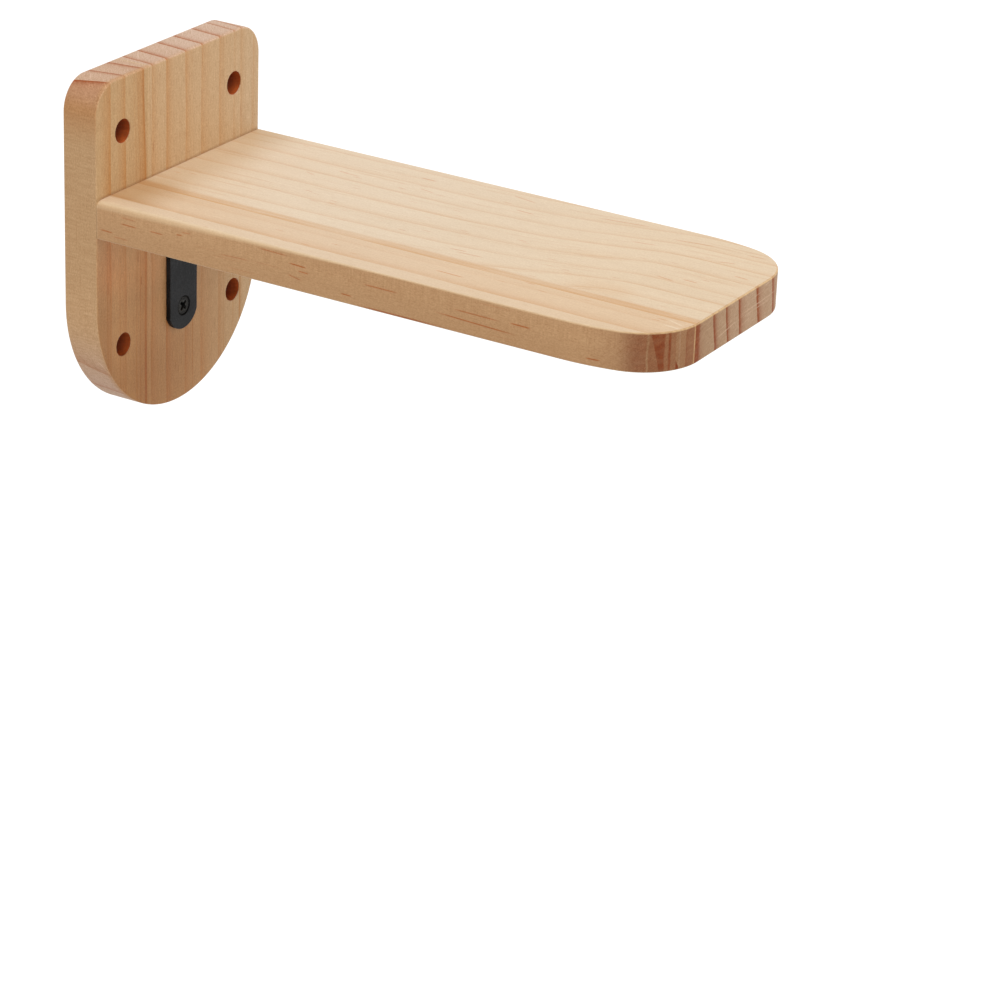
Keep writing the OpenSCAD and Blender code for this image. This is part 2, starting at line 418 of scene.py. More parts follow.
# The board's wide stave, by distance from its right edge: its rings at the plate, and their places at the tip
MAIN_RINGS = Rings(
    (-8, 6.8, 21.9, 35, 49.3, 64.7, 79, 102, 114, 126, 138),
    (0.3, 0.5, 0.55, 0.55, 0.65, 0.56, 0.52, 0.6, 0.5, 0.6, 0.5), (7, 5.4))
MAIN_PLACES_AT_TIP = (-20, -8, 3.5, 16.4, 28.4, 42.2, 58, 68.6, 79.6, 94, 107)
# How they turn from one to the other: distance from the plate, share
RING_TURN = (
    (0, 0), (100, 0.06), (133, 0.1), (150, 0.155), (167, 0.24), (180, 0.34), (190, 0.45), (200, 0.58),
    (210, 0.72), (220, 0.87), (228, 0.96), (238, 1))
# They are a little darker at the tip: from, to, share before, share beyond
TIP_RINGS = (222, 240, 1.0, 1.15)
# Fine lines that follow the rings: grains per ring and per millimetre, and how they show
FEATHERS = Noise((6.0, 0.018, 1), 2, 0.5)
FEATHER_LINES = (0.55, 0.74, 0.0, 0.3)
# The narrow stave along the left edge, beyond the glue line
STRIP_RINGS = Rings((84, 97.5, 110.9, 125, 140), (0.2, 0.2, 0.6, 0.2, 0.2), (3.5, 4))
BOARD_GLUE_LINE = 91
BOARD_GLUE_DRIFT = 2.2
BOARD_LEAN = 0.16
# Beyond its own ring the narrow stave is nearly as pale as the rest, by distance beyond the glue line
STRIP_WARMTH = (18.5, 20.5, 1.0, 0.6)
# The wide stave darkens in two steps before the glue line, and in one in the end grain
BAND_START = (-7.0, -3.8, 0.0, 0.62)
BAND_DEEP = (-1.8, -0.5, 0.0, 0.35)
END_BAND = (-4.4, -3.0, 0.0, 0.9)
# Half the width over which one stave passes into the other, and both sides of the glue
STAVE_BLUR = 0.15
BOARD_GLUE = ((-0.45, -0.1), (0.7, 0.35))
# Latewood on the narrow stave's sawn corner: distance beyond the glue line, share
STRIP_END_TONES = (
    (0, 0.48), (4.4, 0.5), (4.9, 0.6), (5.4, 0.2), (9.8, 0.15), (10.2, 0.42), (11.6, 0.4), (12.4, 0.9),
    (13.1, 0.45), (18.6, 0.5), (19.1, 0.1), (19.6, 0.55), (22, 0.54), (24.5, 0.48), (30, 0.38))
# A dark wedge of it, from an upright line to a leaning ring
WEDGE_LINE = (13.3, 14.5)
WEDGE_RING = (18.8, 18.2)
WEDGE_TONE = 0.85
# A small dark notch beside it, from the lower edge up to this depth
NOTCH_LINE = (9.7, 9.9)
NOTCH_TOP = 12.5
NOTCH_SLOPE = 0.4

# The plate's narrow left stave, by distance from its left edge
LEFT_RINGS = Rings((-4, 10.6, 21.2, 35.8, 49), (0.6, 0.8, 0.75, 0.9, 0.3), (3, 7.5))
LEFT_LEAN = 0.18
# Those further in come closer to the left edge over this run from the top
LEFT_SLANT = 1.4
SLANT_ACROSS = (20, 32)
SLANT_RUN = (0, 50)
# They are fainter towards the bottom
LEFT_FADE = (70, 130, 1.0, 0.6)
# Its wide right stave, by distance from its right edge
RIGHT_RINGS = Rings(
    (-4, 5, 14, 19.5, 30.5, 44, 56, 70, 80.5, 92),
    (0.35, 0.45, 0.55, 0.35, 0.65, 0.65, 0.7, 0.9, 0.5, 0.3), (3.5, 7.5))
RIGHT_LEAN = 0.09
PLATE_GLUE_LINE = 37
PLATE_GLUE = ((-0.3, 0.0), (1.0, 0.6))


def ring_count(position, places):
    """A running count of the growth rings that end at the given places."""
    steps = len(places) - 1
    return position.through([(place, i / steps) for i, place in enumerate(places)]) * steps


def latewood(place, count, rings):
    """How dark the ring is here, 0 to 1: it rises slowly to the ring's end and stops short."""
    strength = count.through(list(enumerate(rings.strengths))) ** place.on_end.fade(1.0, END_STRENGTH_POWER)
    part = count.math("FRACT", count)
    rise = part ** place.on_end.fade(*rings.powers)
    return rise * part.ramp(1.0, LATEWOOD_END) * (strength * place.on_end.fade(1.0, END_DEPTH))


def glue_line(beyond, sides):
    """A thin line between two ramps beside the glue line."""
    return beyond.ramp(*sides[0]) * beyond.ramp(*sides[1])


def strip_corner(place, beyond):
    """Latewood of the narrow stave where the board's round corner cuts it."""
    wavering = beyond + streaks(place, CORNER_WAVER)
    leaning = beyond + place.depth * BOARD_LEAN
    wedge = leaning.ramp(*WEDGE_RING) * wavering.ramp(*WEDGE_LINE)
    widening = beyond + (place.depth - NOTCH_TOP) * NOTCH_SLOPE
    notch = beyond.ramp(*reversed(NOTCH_LINE)) * widening.ramp(*NOTCH_LINE)
    return wavering.through(STRIP_END_TONES).most(notch).most(wedge * WEDGE_TONE)


def board_grain(place):
    wobble = streaks(place, BOARD_WOBBLE) + streaks(place, BOARD_RIPPLE)
    leaning = place.across + place.depth * BOARD_LEAN + wobble
    drift = place.along * (BOARD_GLUE_DRIFT / BOARD_L)
    beyond = place.across - drift - BOARD_GLUE_LINE

    at_plate = ring_count(leaning, MAIN_RINGS.places)
    count = place.along.through(RING_TURN).between(at_plate, ring_count(leaning, MAIN_PLACES_AT_TIP))
    main = latewood(place, count, MAIN_RINGS) * place.along.ramp(*TIP_RINGS)
    feathers = grains(FEATHERS, count, place.along, 0.0).ramp(*FEATHER_LINES)
    main = main.most(feathers * place.on_end.fade(1.0, 0.0))

    strip = latewood(place, ring_count(leaning - drift, STRIP_RINGS.places), STRIP_RINGS)
    strip = place.on_end.between(strip, strip_corner(place, beyond))

    # The wide stave ends in a band of uneven lines
    ragged = beyond + streaks(place, BAND_EDGE)
    band = (ragged.ramp(*BAND_START) + ragged.ramp(*BAND_DEEP)) * (1 + streaks(place, BAND_LINES))
    band = place.on_end.between(band, ragged.ramp(*END_BAND))

    on_strip = beyond.ramp(-STAVE_BLUR, STAVE_BLUR)
    late = on_strip.between(main.most(band), strip)
    return Grain(late, on_strip * beyond.ramp(*STRIP_WARMTH), glue_line(beyond, BOARD_GLUE))


def left_ring_place(place):
    """Distance across the plate's left stave, measured along with its leaning, slanting rings."""
    slant = place.along.ramp(*SLANT_RUN, LEFT_SLANT, 0.0) * place.across.ramp(*SLANT_ACROSS)
    return place.across + place.depth * LEFT_LEAN + slant


def plate_grain(place):
    wobble = streaks(place, PLATE_WOBBLE)
    left_count = ring_count(left_ring_place(place) + wobble, LEFT_RINGS.places)
    left = latewood(place, left_count, LEFT_RINGS) * place.along.ramp(*LEFT_FADE)
    from_right = PLATE_W - place.across + place.depth * RIGHT_LEAN + wobble
    right = latewood(place, ring_count(from_right, RIGHT_RINGS.places), RIGHT_RINGS)
    beyond = place.across - PLATE_GLUE_LINE
    on_strip = beyond.ramp(STAVE_BLUR, -STAVE_BLUR)
    return Grain(on_strip.between(right, left), on_strip, glue_line(beyond, PLATE_GLUE))


# Wood: stains and marks

# A tinted patch, a real stain in some places and painted light and shade in others: its cut, its ramps along
# and across the grain, and its tint
Stain = namedtuple("Stain", "cut along across tint")
BOARD_STAINS = (
    # Warmer towards the tip
    Stain("on_front", [(90, 245)], [], tint(0.99, 0.96, 0.91)),
    # Darker end grain towards the glue line
    Stain("on_end", [], [(45, 88)], tint(0.86, 0.81, 0.73)),
    # A swirl before the tip
    Stain("on_front", [(198, 222), (242, 228)], [(68, 78), (89, 84)], tint(0.97, 0.92, 0.87)),
)
PLATE_STAINS_AND_SHADE = (
    # Painted shade below the board, red and warm, with painted light that pales it to the right and deeper
    # painted shade by the left edge
    Stain("on_front", [(58, 115)], [(112, 60)], tint(1.06, 0.85, 0.67)),
    Stain("on_front", [(58, 115)], [(60, 112)], tint(1.08, 1.04, 0.98)),
    Stain("on_front", [(58, 115)], [(16, 4)], tint(0.79, 0.76, 0.72)),
    # Cooler by the right edge
    Stain("on_front", [], [(92, 118)], tint(1.02, 1.06, 1.12)),
    # Painted light and shade just under the board: a red shaded patch to the left, and a light patch to the
    # right of it
    Stain("on_front", [(58, 66), (100, 84)], [(20, 8)], tint(1.08, 0.95, 0.9)),
    Stain("on_front", [(62, 70), (106, 88)], [(0, 16)], tint(1.22, 1.13, 1.07)),
    # Darker at the bottom
    Stain("on_front", [(112, 142)], [(40, 95, 1.0, 0.3)], tint(0.81, 0.75, 0.66)),
    # A shade just above the board
    Stain("on_front", [(SEAM - 1.4, SEAM - 0.4), (SEAM + 1, SEAM + 0.5)], [], tint(0.84, 0.8, 0.76)),
    # Cooler end grain to the right
    Stain("on_end", [], [(60, 75)], tint(1.03, 1.06, 1.1)),
)
# Painted light on the plate's side, paler low down towards the round bottom
PLATE_SIDE_LIGHT = (Stain("on_side", [(80, 112)], [], tint(1.09, 1.1, 1.14)),)

# Shade on the board by the plate: its ramp along, its strength across by shares of the width, and on the side
BY_PLATE = (32, 6)
BY_PLATE_ACROSS = (
    (0, 0.85), (0.1, 0.78), (0.2, 0.6), (0.62, 0.6), (0.7, 0.85), (0.75, 1), (0.91, 1), (0.935, 0.35),
    (1, 0.2))
BY_PLATE_ON_SIDE = 0.1
BY_PLATE_TINT = tint(0.74, 0.64, 0.5)
# The joint line between board and plate, dark on top, and on the side a pale line of painted light over the
# groove's shade
JOINT_LINE = (0.2, 0.7, 0.6, 0.0)
JOINT_TURN = (0, 0.5)
JOINT_ON_TOP, JOINT_ON_SIDE = srgb(140, 80, 42), srgb(206, 170, 128)
# An orange line along the lower edge: its depth, its start and its fading along the board, and the cuts it
# stays off
LOW_LINE_DEPTH = (15.6, 16.2)
LOW_LINE_START = (128, 142)
LOW_LINE_FADE = (158, 176, 0.8, 0.15)
LOW_LINE_OFF = (0.3, 0)
LOW_LINE_ORANGE = srgb(166, 84, 34)
TORN_HALF, TORN = 0.7, srgb(240, 222, 196)
SCRATCH_HALF, SCRATCHED = 0.45, srgb(206, 172, 142)
# The sides' upper half is a little lighter
UPPER_SIDE = (13, 4)
UPPER_SIDE_TINT = tint(1.05, 1.05, 1.05)

# Thin resin lines on the plate's front: distance from the left edge, half width, strength
PLATE_LINES = (
    (7.5, 0.6, 0.25), (16.5, 0.5, 0.3), (28.5, 0.7, 0.35), (31.2, 0.7, 0.4), (35.2, 1.2, 0.9),
    (39.5, 0.8, 0.4), (53, 0.4, 0.25), (70.3, 0.5, 0.4), (94, 0.5, 0.35), (99.3, 0.4, 0.25),
    (106.8, 0.8, 0.5), (114.8, 0.6, 0.3))
LINE_SLANT = 1.5
LINE_BREAK_SHARES = (-0.5, 0.5, 0.4, 1.0)
# They are deeper under the board
LINE_DEPTHS = (60, 110, 1.0, 2.2)
LINE_TINT = tint(0.86, 0.64, 0.4)
# The red top left corner, outside the first ring
RED_CORNER = (30, 8)
RED_CORNER_BLUR = 0.5
RED_CORNER_ON_FRONT = 0.1
RED_CORNER_TINT = tint(0.92, 0.75, 0.6)
# A tan strip along the front of the top: its ramps in depth and across
TAN_STRIP_DEPTH = (0.6, 3.0, 0.7, 0.0)
TAN_STRIP_ACROSS = (30, 46, 1.0, 0.3)
TOP_FRONT_TAN = srgb(188, 140, 94)


def with_tint_patches(place, colour, stains):
    for stain in stains:
        share = getattr(place, stain.cut)
        for limits in stain.along:
            share = share * place.along.ramp(*limits)
        for limits in stain.across:
            share = share * place.across.ramp(*limits)
        colour = tinted_over(colour, share, stain.tint)
    return colour


def board_marks(place, colour):
    """Painted shade by the plate, stains, the joint line, an orange line along the lower edge, torn fibres
    and scratches.
    """
    by_plate = place.along.ramp(*BY_PLATE) * (place.across / BOARD_W).through(BY_PLATE_ACROSS)
    colour = tinted_over(colour, by_plate * place.on_side.fade(1.0, BY_PLATE_ON_SIDE), BY_PLATE_TINT)
    colour = with_tint_patches(place, colour, BOARD_STAINS)
    joint = place.on_side.ramp(*JOINT_TURN).mix(JOINT_ON_TOP, JOINT_ON_SIDE)
    colour = place.along.ramp(*JOINT_LINE).mix(colour, joint)
    low_line = place.depth.ramp(*LOW_LINE_DEPTH) * place.on_front.ramp(*LOW_LINE_OFF)
    low_line = low_line * place.along.ramp(*LOW_LINE_START) * place.along.ramp(*LOW_LINE_FADE)
    colour = (low_line * place.on_end.ramp(*LOW_LINE_OFF)).mix(colour, LOW_LINE_ORANGE)
    colour = dashes(place.across, place.along, TORN_FIBRES, TORN_HALF).mix(colour, TORN)
    scratches = dashes(place.depth, place.across, END_SCRATCHES, SCRATCH_HALF)
    colour = (scratches * place.on_end).mix(colour, SCRATCHED)
    return tinted_over(colour, place.on_side * place.depth.ramp(*UPPER_SIDE), UPPER_SIDE_TINT)


def plate_marks(place, colour):
    """Stains with painted light and shade, thin resin lines, a red top left corner, a tan strip along the
    top's front edge, and painted light on the lower side.
    """
    colour = with_tint_patches(place, colour, PLATE_STAINS_AND_SHADE)
    position = place.across + place.along.ramp(*SLANT_RUN, LINE_SLANT, 0.0) + streaks(place, LINE_WOBBLE)
    lines = 0.0
    for at, half_width, share in PLATE_LINES:
        lines = (thin_line(position, at, half_width) * share).most(lines)
    lines = lines * streaks(place, LINE_BREAKS).ramp(*LINE_BREAK_SHARES) * place.on_front
    colour = tinted_over(colour, lines * place.along.ramp(*LINE_DEPTHS), LINE_TINT)
    first_ring = LEFT_RINGS.places[1]
    corner = left_ring_place(place).ramp(first_ring, first_ring - RED_CORNER_BLUR)
    corner = corner * place.along.ramp(*RED_CORNER) * place.on_front.fade(1.0, RED_CORNER_ON_FRONT)
    colour = tinted_over(colour, corner, RED_CORNER_TINT)
    # A tan strip along the front of the plate's top
    worn = place.depth.ramp(*TAN_STRIP_DEPTH) * place.on_end * place.across.ramp(*TAN_STRIP_ACROSS)
    return with_tint_patches(place, worn.mix(colour, TOP_FRONT_TAN), PLATE_SIDE_LIGHT)


# Wood: the whole material

# Sawn end grain: open pores, fine saw lines and a few pale scratches
PORES = Noise((2.6, 0.9, 0.9), 4, 0.7)
SAW_LINES = Noise((2.2, 0.2, 1), 3, 0.6)
SAW_SCRATCHES = Noise((1.1, 0.05, 1), 2, 0.5)
SAW_SCRATCH_SEED = 3.0
PORE_TONE = 0.7
SAW_LINE_TONE = 0.5
SAW_SCRATCH_TONES = (0.62, 0.74, 0.0, 0.9)
# The planer's marks across the sides
PLANER = Noise((0.1, 0.1, 1.2), 2, 0.6)
# How uneven the rings are in tone, on faces and in end grain
RING_TONE_SHARES = (-0.7, 0.7, 0.6, 1.1)
END_TONE_SHARES = (-0.7, 0.7, 0.88, 1.1)
GLUE_ON_END = 0.6
# Resin canals: where groups begin, share of random ones on sides, half widths, fading in end grain
CANAL_GROUP_EDGE = (-0.2, 0.4)
SIDE_FLECK_SHARE = 0.5
FACE_DASH_HALF = 0.6
SIDE_DASH_HALF = 0.52
CANAL_OFF_END = (0.7, 0.2)
# Dark fibres are warmer than pale ones: what the tone becomes in red and in blue
TONE_SPAN = (0, 2)
RED_SPAN = (0.3, 1.7)
BLUE_SPAN = (-0.35, 2.35)
# Eased edges are rubbed and carry a painted highlight, unevenly along the fibres
RUB_AND_HIGHLIGHT_FIBRES = (-0.5, 0.5, 0.6, 1.0)
# Height of each part of the texture in the relief
RELIEF = {"fibre": 0.3, "hair": 0.3, "speck": 0.2, "sawn": 0.8, "planed": 0.5}
RELIEF_DEPTH = 0.06
RELIEF_STRENGTH = 0.6
HAIR_ROUGHNESS = (-1, 1, 0.48, 0.6)
END_ROUGHER = 0.12
LATEWOOD_SMOOTHER = 0.05
PINE_SPECULAR = 0.3

# Early and late wood have a colour on the face, on the side and in end grain
BOARD_PINE = {
    "place": board_place, "grain": board_grain, "marks": board_marks,
    # The board's face colours are paler than its sides' partly as painted light on its top; the bottom shares
    # them
    "early": (srgb(225, 203.5, 176), srgb(204, 162, 118), srgb(184, 150, 119)),
    "late": (srgb(205, 155, 101), srgb(186, 136, 88), srgb(142, 66, 4)),
    "strip_tint": tint(0.95, 0.875, 0.805), "strip_end_tint": tint(0.9, 0.8, 0.68),
    "glue_on_face": 0.05, "glue_colour": srgb(222, 186, 138),
    "face_fleck": 0.9, "face_dashes": TOP_DASHES, "side_dashes": SIDE_DASHES,
    "dash_tint": tint(0.8, 0.36, 0.13),
    "saw_slope": 0.13, "planed_depth": (13, 4, 0.25, 1.0),
    "tones": {"fibre": 0.03, "hair": 0.08, "speck": 0.075, "cloud": 0.04, "sawn": 0.33, "planed": 0.08},
    "on_side": {"fibre": 0.5, "hair": 1.2, "speck": 1.8, "cloud": 1.0},
    "edge_shares": (0.65, 0.75), "edge_colours": (srgb(230, 203, 163), srgb(228, 194, 142)),
}
PLATE_PINE = {
    "place": plate_place, "grain": plate_grain, "marks": plate_marks,
    "early": (srgb(198, 164, 124), srgb(208, 168, 126), srgb(202, 168, 142)),
    "late": (srgb(188, 130, 70), srgb(190, 142, 96), srgb(162, 88, 36)),
    "strip_tint": tint(0.948, 0.912, 0.833), "strip_end_tint": tint(0.97, 0.935, 0.89),
    "glue_on_face": 0.3, "glue_colour": srgb(206, 172, 128),
    "face_fleck": 0.8, "face_dashes": PLATE_DASHES, "side_dashes": (),
    "dash_tint": tint(0.7, 0.46, 0.27),
    "saw_slope": 0.7, "planed_depth": (13, 4, 1.0, 1.0),
    "tones": {"fibre": 0.06, "hair": 0.18, "speck": 0.165, "cloud": 0.03, "sawn": 0.33, "planed": 0.09},
    "on_side": {"fibre": 0.5, "hair": 0.27, "speck": 1.0, "cloud": 1.0},
    "edge_shares": (0.3, 0.3), "edge_colours": (srgb(214, 180, 136), srgb(220, 186, 150)),
}


def by_cut(place, face, side, end):
    """One of three colours by how the wood is cut."""
    return place.on_end.mix(place.on_side.mix(face, side), end)


def end_texture(place, slope):
    """Tone of sawn end grain, about -1 to 1, with saw lines on a slope."""
    level = place.depth + place.along - place.across * slope
    pores = grains(PORES, place.across, place.depth, place.along).line(*NOISE_SPAN, -PORE_TONE, PORE_TONE)
    lines = grains(SAW_LINES, level, place.across, 0.0).line(*NOISE_SPAN, -SAW_LINE_TONE, SAW_LINE_TONE)
    scratches = grains(SAW_SCRATCHES, level, place.across, SAW_SCRATCH_SEED).ramp(*SAW_SCRATCH_TONES)
    return pores + lines + scratches


def fine_texture(place, panel):
    """Parts of the wood's fine texture by name, each about -1 to 1."""
    parts = {}
    for name, kind in FINE_STREAKS.items():
        parts[name] = streaks(place, kind) * place.on_side.fade(1.0, panel["on_side"][name])
    parts["sawn"] = end_texture(place, panel["saw_slope"]) * place.on_end
    strokes = grains(PLANER, place.across, place.depth, place.along).line(*HALF_SPAN, -1, 1)
    parts["planed"] = strokes * place.on_side * place.depth.ramp(*panel["planed_depth"])
    return parts


def weighted(parts, weights):
    return sum(parts[name] * weight for name, weight in weights.items())


def resin_canals(place, panel):
    """Brown dashes along the grain, in groups on the faces."""
    groups = streaks(place, CANAL_GROUPS).ramp(*CANAL_GROUP_EDGE)
    on_face = flecks(place.across, place.along, FACE_FLECKS) * groups * panel["face_fleck"]
    on_face = on_face.most(dashes(place.across, place.along, panel["face_dashes"], FACE_DASH_HALF))
    on_side = flecks(place.depth, place.along, SIDE_FLECKS) * SIDE_FLECK_SHARE
    on_side = on_side.most(dashes(place.depth, place.along, panel["side_dashes"], SIDE_DASH_HALF))
    return (on_face * place.on_front + on_side * place.on_side) * place.on_end.ramp(*CANAL_OFF_END)


def pine(name, panel):
    """One glued panel of planed pine as a solid texture, so that grain and end grain meet at the edges."""
    material, tree = new_material(name)
    place = panel["place"](tree)
    grain = panel["grain"](place)

    uneven = place.on_end.between(
        streaks(place, RING_TONES).line(*RING_TONE_SHARES), streaks(place, END_TONES).ramp(*END_TONE_SHARES))
    colour = (grain.late * uneven).mix(by_cut(place, *panel["early"]), by_cut(place, *panel["late"]))
    colour = tinted_over(colour, grain.on_strip, place.on_end.mix(panel["strip_tint"], panel["strip_end_tint"]))
    glue = grain.glue * place.on_end.fade(panel["glue_on_face"], GLUE_ON_END) * uneven
    colour = glue.mix(colour, panel["glue_colour"])
    colour = panel["marks"](place, colour)
    colour = tinted_over(colour, resin_canals(place, panel), panel["dash_tint"])

    parts = fine_texture(place, panel)
    tone = 1 + weighted(parts, panel["tones"])
    colour = colour.tinted(vector(tone.line(*TONE_SPAN, *RED_SPAN), tone, tone.line(*TONE_SPAN, *BLUE_SPAN)))
    # Eased edges: paler where rubbed, and with a painted highlight where they would catch the light
    rubbed_and_highlit = tree.edge() * parts["fibre"].ramp(*RUB_AND_HIGHLIGHT_FIBRES) * place.on_end.fade(*panel["edge_shares"])
    colour = rubbed_and_highlit.mix(colour, place.on_end.mix(*panel["edge_colours"]))

    roughness = parts["hair"].line(*HAIR_ROUGHNESS) + place.on_end * END_ROUGHER
    tree.surface(
        colour, roughness - grain.late * LATEWOOD_SMOOTHER, Specular_IOR_Level=PINE_SPECULAR,
        Normal=weighted(parts, RELIEF).bump(RELIEF_DEPTH, RELIEF_STRENGTH))
    return material


DRILL_TURNS = Noise((0.2, 2.2, 0.2), 3, 0.6)
DRILL_BLOTCHES = Noise((0.35, 0.2, 0.35), 2, 0.5)
# How far the colours of the mouth and of the back reach in
BORE_MOUTH_L = 9
BORE_BACK_L = 7
# The middle is darker, redder wood, and partly painted shade deep in the hole
BORE_MOUTH, BORE_MIDDLE, BORE_BACK = srgb(192, 94, 38), srgb(120, 46, 15), srgb(192, 118, 66)
BORE_BLOTCH, BORE_BLOTCH_SHARE = srgb(140, 66, 30), 0.5
BORE_TURN, BORE_TURN_SHARES = srgb(116, 50, 22), (0.4, 0.75, 0.0, 0.25)
BORE_ROUGHNESS = (0.5, 0.7)
BORE_SPECULAR = 0.25
BORE_TURN_HEIGHT = 0.6
BORE_BLOTCH_HEIGHT = 0.4
BORE_RELIEF = (0.08, 0.6)


def bore_wood():
    """The inside of a drilled hole: burnished, darker inwards partly as painted shade, with faint rings from
    the drill.
    """
    material, tree = new_material("pine_bore")
    place = tree.position()
    turns = grains(DRILL_TURNS, *place)
    blotches = grains(DRILL_BLOTCHES, *place)
    colour = place[Y].ramp(PLATE_LOW.y, PLATE_LOW.y + BORE_MOUTH_L).mix(BORE_MOUTH, BORE_MIDDLE)
    colour = place[Y].ramp(PLATE_HIGH.y - BORE_BACK_L, PLATE_HIGH.y).mix(colour, BORE_BACK)
    colour = blotches.ramp(*NARROW_SPAN, 0.0, BORE_BLOTCH_SHARE).mix(colour, BORE_BLOTCH)
    colour = turns.ramp(*BORE_TURN_SHARES).mix(colour, BORE_TURN)
    height = turns * BORE_TURN_HEIGHT + blotches * BORE_BLOTCH_HEIGHT
    tree.surface(
        colour, turns.ramp(*WIDE_SPAN, *BORE_ROUGHNESS), Specular_IOR_Level=BORE_SPECULAR,
        Normal=height.bump(*BORE_RELIEF))
    return material


# Metals

# Share of the bare steel's colour on a worn edge, and how much smoother it is
WORN_SHARE = 0.5
WORN_SMOOTHER = 0.08

COAT_PEEL = even_noise(1.3, 2, 0.5)
COAT_GRIT = even_noise(7.0, 2, 0.6)
COAT_CLOUDS = even_noise(0.09, 3, 0.5)
COAT_DARK, COAT_PALE, COAT_WORN = srgb(13, 13, 14), srgb(41, 41, 43), srgb(96, 95, 94)
COAT_MIX = (0.36, 0.64)
COAT_WEAR = (0.45, 0.65)
# Painted shade: the plate leg is darker towards its tip, from this far below the bend
COAT_SHADE_TOP = 20
COAT_SHADE = tint(0.72, 0.72, 0.72)
COAT_ROUGHNESS = (0.44, 0.56)
COAT_SPECULAR = 0.15
COAT_PEEL_HEIGHT = 0.7
COAT_GRIT_HEIGHT = 0.3
COAT_RELIEF = (0.08, 0.6)

SEAT_GRIT = even_noise(5.0, 3, 0.6)
SEAT_DARK, SEAT_PALE = srgb(12, 12, 12), srgb(22, 21, 20)
SEAT_ROUGHNESS = (0.6, 0.8)
SEAT_SPECULAR = 0.05
SEAT_RELIEF = (0.04, 0.5)

OXIDE_GRIT = even_noise(6.0, 3, 0.6)
OXIDE_BLOTCHES = even_noise(0.9, 2, 0.5)
OXIDE_DARK, OXIDE_PALE, OXIDE_WORN = srgb(8, 8, 8), srgb(13, 13, 12), srgb(130, 126, 120)
OXIDE_WEAR = (0.4, 0.62)
OXIDE_ROUGHNESS = (0.36, 0.5)
OXIDE_SPECULAR = 0.06
OXIDE_BLOTCH_HEIGHT = 0.5
OXIDE_RELIEF = (0.03, 0.5)

ZINC_GRIT = even_noise(5.0, 3, 0.6)
ZINC_FILM = even_noise(0.5, 3, 0.5)
# Turning marks by distance from the screw's axis and along it
ZINC_TURNING = Noise((6.0, 1.5, 1), 2, 0.5)
ZINC_PALE, ZINC_YELLOW, ZINC_TURNED = srgb(206, 201, 182), srgb(214, 198, 150), srgb(150, 138, 104)
ZINC_TURNED_SHARES = (0.45, 0.7, 0.0, 0.3)
ZINC_ROUGHNESS = (0.26, 0.44)
ZINC_RELIEF = (0.02, 0.5)


def rubbed_black(tree, colour, bare, grit, wear, roughness):
    """Colour and roughness of a black finish that is rubbed thin along eased edges."""
    worn = tree.edge() * grit.ramp(*wear)
    colour = (worn * WORN_SHARE).mix(colour, bare)
    return colour, grit.line(*WIDE_SPAN, *roughness) - worn * WORN_SMOOTHER


def powder_coat():
    """Satin black powder coat: fine orange peel, thinner and greyer along the bar's edges."""
    material, tree = new_material("black_powder_coat")
    place = tree.position()
    peel, grit, clouds = [grains(kind, *place) for kind in (COAT_PEEL, COAT_GRIT, COAT_CLOUDS)]
    colour = ((clouds + peel) / 2).ramp(*COAT_MIX).mix(COAT_DARK, COAT_PALE)
    # Painted shade, darker down the plate leg
    colour = tinted_over(colour, place[Z].ramp(BRACKET_HIGH.z - COAT_SHADE_TOP, BRACKET_LOW.z), COAT_SHADE)
    tree.surface(
        *rubbed_black(tree, colour, COAT_WORN, grit, COAT_WEAR, COAT_ROUGHNESS),
        Specular_IOR_Level=COAT_SPECULAR,
        Normal=(peel * COAT_PEEL_HEIGHT + grit * COAT_GRIT_HEIGHT).bump(*COAT_RELIEF))
    return material


def seat_shade():
    """Painted shade in the countersinks' insides, darker than the coat round them."""
    material, tree = new_material("countersink")
    grit = grains(SEAT_GRIT, *tree.position())
    tree.surface(
        grit.ramp(*HALF_SPAN).mix(SEAT_DARK, SEAT_PALE), grit.line(*WIDE_SPAN, *SEAT_ROUGHNESS),
        Specular_IOR_Level=SEAT_SPECULAR, Normal=grit.bump(*SEAT_RELIEF))
    return material


def black_oxide():
    """Semi-matt black screws, rubbed to grey steel on the head's rim and the recess's lips."""
    material, tree = new_material("black_oxide")
    grit, blotches = [grains(kind, *tree.position()) for kind in (OXIDE_GRIT, OXIDE_BLOTCHES)]
    colour = blotches.ramp(*HALF_SPAN).mix(OXIDE_DARK, OXIDE_PALE)
    tree.surface(
        *rubbed_black(tree, colour, OXIDE_WORN, grit, OXIDE_WEAR, OXIDE_ROUGHNESS),
        Specular_IOR_Level=OXIDE_SPECULAR,
        Normal=(grit + blotches * OXIDE_BLOTCH_HEIGHT).bump(*OXIDE_RELIEF))
    return material


def zinc_plate():
    """Pale yellow zinc plate, uneven in tone, with fine turning marks round the head."""
    material, tree = new_material("zinc_plate")
    x, y, z = tree.position()
    grit, film = [grains(kind, x, y, z) for kind in (ZINC_GRIT, ZINC_FILM)]
    from_axis = (x * x + y * y) ** 0.5
    turning = grains(ZINC_TURNING, from_axis, z, 0.0)
    colour = film.ramp(*NARROW_SPAN).mix(ZINC_PALE, ZINC_YELLOW)
    tree.surface(
        turning.ramp(*ZINC_TURNED_SHARES).mix(colour, ZINC_TURNED),
        ((grit + film) / 2).ramp(*HALF_SPAN, *ZINC_ROUGHNESS), Metallic=1.0,
        Normal=(grit + turning).bump(*ZINC_RELIEF))
    return material


# Meshes

# A mesh's material slots
OUTSIDE, INSIDE = 0, 1
# Edges that turn by more than this stay sharp
SHARP_ANGLE = 40

# Panels
PLATE_CORNER_R = 14
PLATE_EDGE_R = 0.5
# The plate's front edge is rounded more along the top
PLATE_TOP_EDGE_R = 1.0
BOARD_CORNER_R = 28
